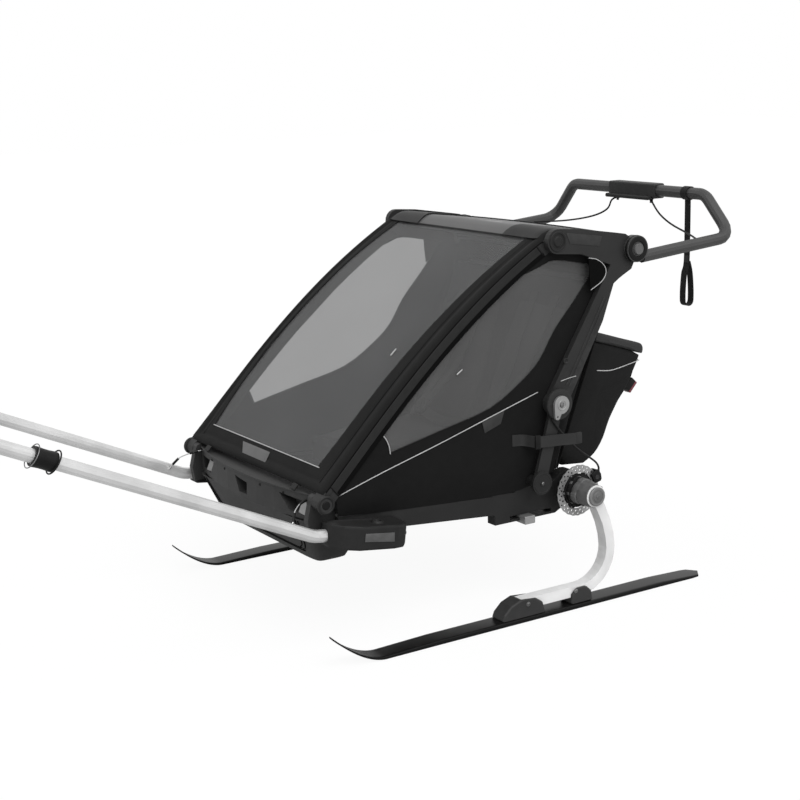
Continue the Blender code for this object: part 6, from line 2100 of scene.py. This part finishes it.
@dataclass
class Nose:
    """Reflectors, top lip and screws of the bowed nose panel."""

    def build(self) -> None:
        """Make the nose's details."""
        for side, low_x, high_x in ((1, 0.226, 0.262), (-1, -0.238, -0.202)):
            self._reflector(side, low_x, high_x)
        stations = [-0.286 + 0.572 * step / 32 for step in range(33)]
        lip = [(x, nose_front(x) - 0.0004, 0.3495) for x in stations]
        dress(tube("nose_top_lip", lip, 0.0022), DARK_GREY, "base")
        for number, x in enumerate((-0.180, -0.090, 0.090, 0.180)):
            screw = turned(f"nose_screw_{number}", (x, nose_front(x), 0.3390), (0, -1, 0),
                           [(-0.001, 0), (-0.001, 0.0034), (0.0006, 0.0032), (0.0010, 0.0022),
                            (0.0002, 0.0018), (0.0002, 0)], 16)
            dress(screw, DEEP_BLACK, "base")

    def _reflector(self, side: int, low_x: float, high_x: float) -> None:
        """A pale reflector in one of the nose's pockets, between two places along X."""
        low_left, low_right = Vector((low_x, 0.3010)), Vector((high_x, 0.3010))
        high_left, high_right = Vector((low_x + 0.010, 0.3270)), Vector((high_x - 0.006, 0.3300))

        def place(share_across: float, share_along: float) -> Point:
            left = low_left.lerp(high_left, share_along)
            right = low_right.lerp(high_right, share_along)
            x, z = left.lerp(right, share_across)
            return x, -0.6780 + 0.006 * share_along, z

        reflector = mapped_sheet(named("nose_reflector", side), 8, 8, place, (0.04, 0.03))
        apply_modifier(reflector, "SOLIDIFY", thickness=0.004, offset=0.0)
        round_edges(reflector, 0.0010, 40)
        smooth(reflector, 40)
        dress(reflector, LIGHT_REFLECTOR, "base")


@dataclass
class Footwell:
    """Rounded tub for the feet, with painted shadow lines for two grooves round its front panel."""

    top_half: float = 0.2785
    low_half: float = 0.2450
    top_z: float = 0.2885
    low_z: float = 0.1800
    top_front: float = -0.6895
    low_front: float = -0.6420
    top_rear: float = -0.5180
    low_rear: float = -0.5660

    def build(self) -> None:
        """Make the tub and the painted shadow lines of its grooves."""
        levels = ((0.0, 0.0), (0.0, 0.80), (0.010, 0.955), (0.05, 0.990), (0.14, 1.0), (1.0, 1.0),
                  (1.0, 0.955), (0.10, 0.950), (0.06, 0.90), (0.06, 0.0))

        def place(share_round: float, share_up: float) -> Point:
            height, size = levels[round(share_up * (len(levels) - 1))]
            x, y = self._rim(share_round, height, size)
            return x, y, self.low_z + (self.top_z - self.low_z) * height

        tub = mapped_sheet("footwell_tub", 72, len(levels) - 1, place, (0.1, 0.1), closed=True)
        round_edges(tub, 0.0040, 35, 3)
        smooth(tub, 35)
        dress(tub, SLATE, "base")
        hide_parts("footwell")
        for number, inset in enumerate((0.020, 0.032)):
            groove = []
            for x, share in ((-1, 1.0), (-1, 0.30), (-0.93, 0.16), (-0.80, 0.11), (0.80, 0.11), (0.93, 0.16),
                             (1, 0.30), (1, 1.0)):
                half = self.low_half + (self.top_half - self.low_half) * share - inset - 0.022
                height = min(share + inset * 3.0, 0.97)
                y = self.low_front + (self.top_front - self.low_front) * height
                groove.append((x * half, y - 0.0002, self.low_z + (self.top_z - self.low_z) * height))
            line = smooth_route(groove, 5)
            # Painted shadow: a near-black bead on the tub's face stands for the shade in each groove.
            dress(tube(f"footwell_groove_shadow_{number}", line, 0.0013, resolution=2), SHADOW_CLOTH, "base")

    def _rim(self, share_round: float, height: float, size: float) -> SidePoint:
        """A point of the tub's rounded outline at a height.

        Args:
            share_round: how far round the outline.
            height: share of the tub's height.
            size: size of the outline, 1 for the full one.

        Returns:
            Its x and y.
        """
        half = self.low_half + (self.top_half - self.low_half) * height
        front = self.low_front + (self.top_front - self.low_front) * height
        rear = self.low_rear + (self.top_rear - self.low_rear) * height
        angle = math.tau * share_round
        x = half * squared(math.cos(angle), 0.16) * size
        y = (rear - front) / 2 * squared(math.sin(angle), 0.30) * size
        return x, (front + rear) / 2 + y


@dataclass
class TowBars(SideParts):
    """Sleeve, wire rings, reflector and lug of one tow bar."""

    def build(self) -> None:
        """Make the bar's details."""
        forward = Vector((0, TOW_FORWARD.x, TOW_FORWARD.y))
        start = TOW_BEND + TOW_FORWARD * 0.6155
        centre = (self.side * TOW_X, start.x, start.y)
        sleeve = turned(named("tow_sleeve", self.side), centre, forward,
                        [(-0.001, 0.0150), (-0.001, 0.0202), (0.0035, 0.0208), (0.018, 0.0197),
                         (0.030, 0.0197), (0.043, 0.0208), (0.0475, 0.0202), (0.0475, 0.0150),
                         (-0.001, 0.0150)], 32)
        dress(sleeve, DEEP_BLACK, "base")
        up = Vector((-TOW_FORWARD.y, TOW_FORWARD.x))
        for label, along, radius, thick, finish in (
                ("tow_clip_rear", 0.001, 0.0245, 0.0016, DEEP_BLACK),
                ("tow_clip_front", 0.0470, 0.0250, 0.0011, BOLT_STEEL)):
            middle = start + TOW_FORWARD * along
            ring = []
            for angle in (math.tau * step / 32 for step in range(32)):
                spot = middle + up * radius * math.sin(angle) + TOW_FORWARD * 0.004 * math.sin(angle)
                ring.append((self.side * TOW_X + radius * math.cos(angle), spot.x, spot.y))
            dress(tube(named(label, self.side), ring, thick, closed=True), finish, "base")
        self._bracket()

    def _bracket(self) -> None:
        """Reflector strip and release lug on the tow bar's socket."""
        strip = [(-0.6060, 0.2785), (-0.5330, 0.2680), (-0.5340, 0.2475), (-0.6085, 0.2605)]
        self.slab("bracket_reflector", strip, (0.3896, 0.3914), DIM_REFLECTOR, "base", 0.0006)
        lug = turned(named("bracket_lug", self.side), (self.side * 0.3560, -0.5560, 0.2830), (0, 0.13, 1),
                     [(0, 0), (0, 0.0150), (0.0060, 0.0140), (0.0085, 0.0120), (0.0085, 0.0085),
                      (0.0055, 0.0075), (0.0055, 0)], 28)
        dress(lug, MATT_BLACK, "base")


class KeptNodes:
    """Finishes and softened edges of the CAD nodes that stay."""

    SINGLE: dict[str, tuple[Finish, float]] = {
        "axle": (BLACK_METAL, 0.0012),
        "brake_housing": (DARK_GREY, 0.0010),
        "brake_lever": (MATT_BLACK, 0.0010),
        "floor_pan": (MATT_BLACK, 0.0010),
        "front_bumper": (SLATE, 0.0014),
        "push_bar": (BAR_COAT, 0.0014),
        "rear_crossbar": (BLACK_METAL, 0.0),
        "top_crossbar": (BLACK_METAL, 0.0),
    }
    PAIRED: dict[str, tuple[Finish, float]] = {
        "base_rail": (RAIL_BLACK, 0.0030),
        "claw_hub": (CLAW_GREY, 0.0008),
        "fold_lever": (LEVER_GREY, 0.0012),
        "front_pillar": (DARK_GREY, 0.0014),
        "heel_bracket": (SLATE, 0.0010),
        "hub_button": (BUTTON_GREY, 0.0),
        "leaf_slider": (CAST_GREY, 0.0),
        "lower_strut": (DARK_GREY, 0.0016),
        "side_plate": (DARK_GREY, 0.0022),
        "ski_strut": (SATIN_ARM, 0.0026),
        "toe_bracket": (SLATE, 0.0010),
        "tow_bar_front": (BRIGHT_TUBE, 0.0),
        "tow_bar_rear": (BRIGHT_TUBE, 0.0),
        "tow_bracket": (MATT_BLACK, 0.0015),
        "tow_lock_button": (SLATE, 0.0),
    }

    def build(self) -> None:
        """Dress and soften each kept node."""
        for name, (finish, width) in self.SINGLE.items():
            self._dress(name, finish, width)
        for label, (finish, width) in self.PAIRED.items():
            for side in (1, -1):
                self._dress(named(label, side), finish, width)

    def _dress(self, name: str, finish: Finish, width: float) -> None:
        """Give one node its finish, and round its edges by a width."""
        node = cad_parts[name]
        material = finish.material()
        for slot in node.material_slots:
            slot.material = material
        if not node.material_slots:
            node.data.materials.append(material)
        weld = node.modifiers.new("weld", "WELD")
        weld.merge_threshold = MERGE_DISTANCE
        if width:
            bevel = node.modifiers.new("soft_edges", "BEVEL")
            bevel.width = width
            bevel.segments = 3
            bevel.limit_method = "ANGLE"
            bevel.angle_limit = math.radians(28)
        normals = node.modifiers.new("even_normals", "WEIGHTED_NORMAL")
        normals.keep_sharp = True
        LOG.info("%s: %s", name, finish.name)


def main() -> None:
    """Build the studio and every sub-assembly in order."""
    logging.basicConfig(level=logging.INFO, format="%(message)s")
    Studio().build()
    Cords().build()
    KeptNodes().build()
    FrontCover().build()
    Roof().build()
    for side in (1, -1):
        SidePanel(side).build()
    BackPanel().build()
    SeatBench().build()
    CargoBag().build()
    Pillars().build()
    WristStrap().build()
    Nose().build()
    Footwell().build()
    for side in (1, -1):
        SkiKit(side).build()
        FrameDetails(side).build()
        TowBars(side).build()
    deselect()


if __name__ == "__main__":
    main()
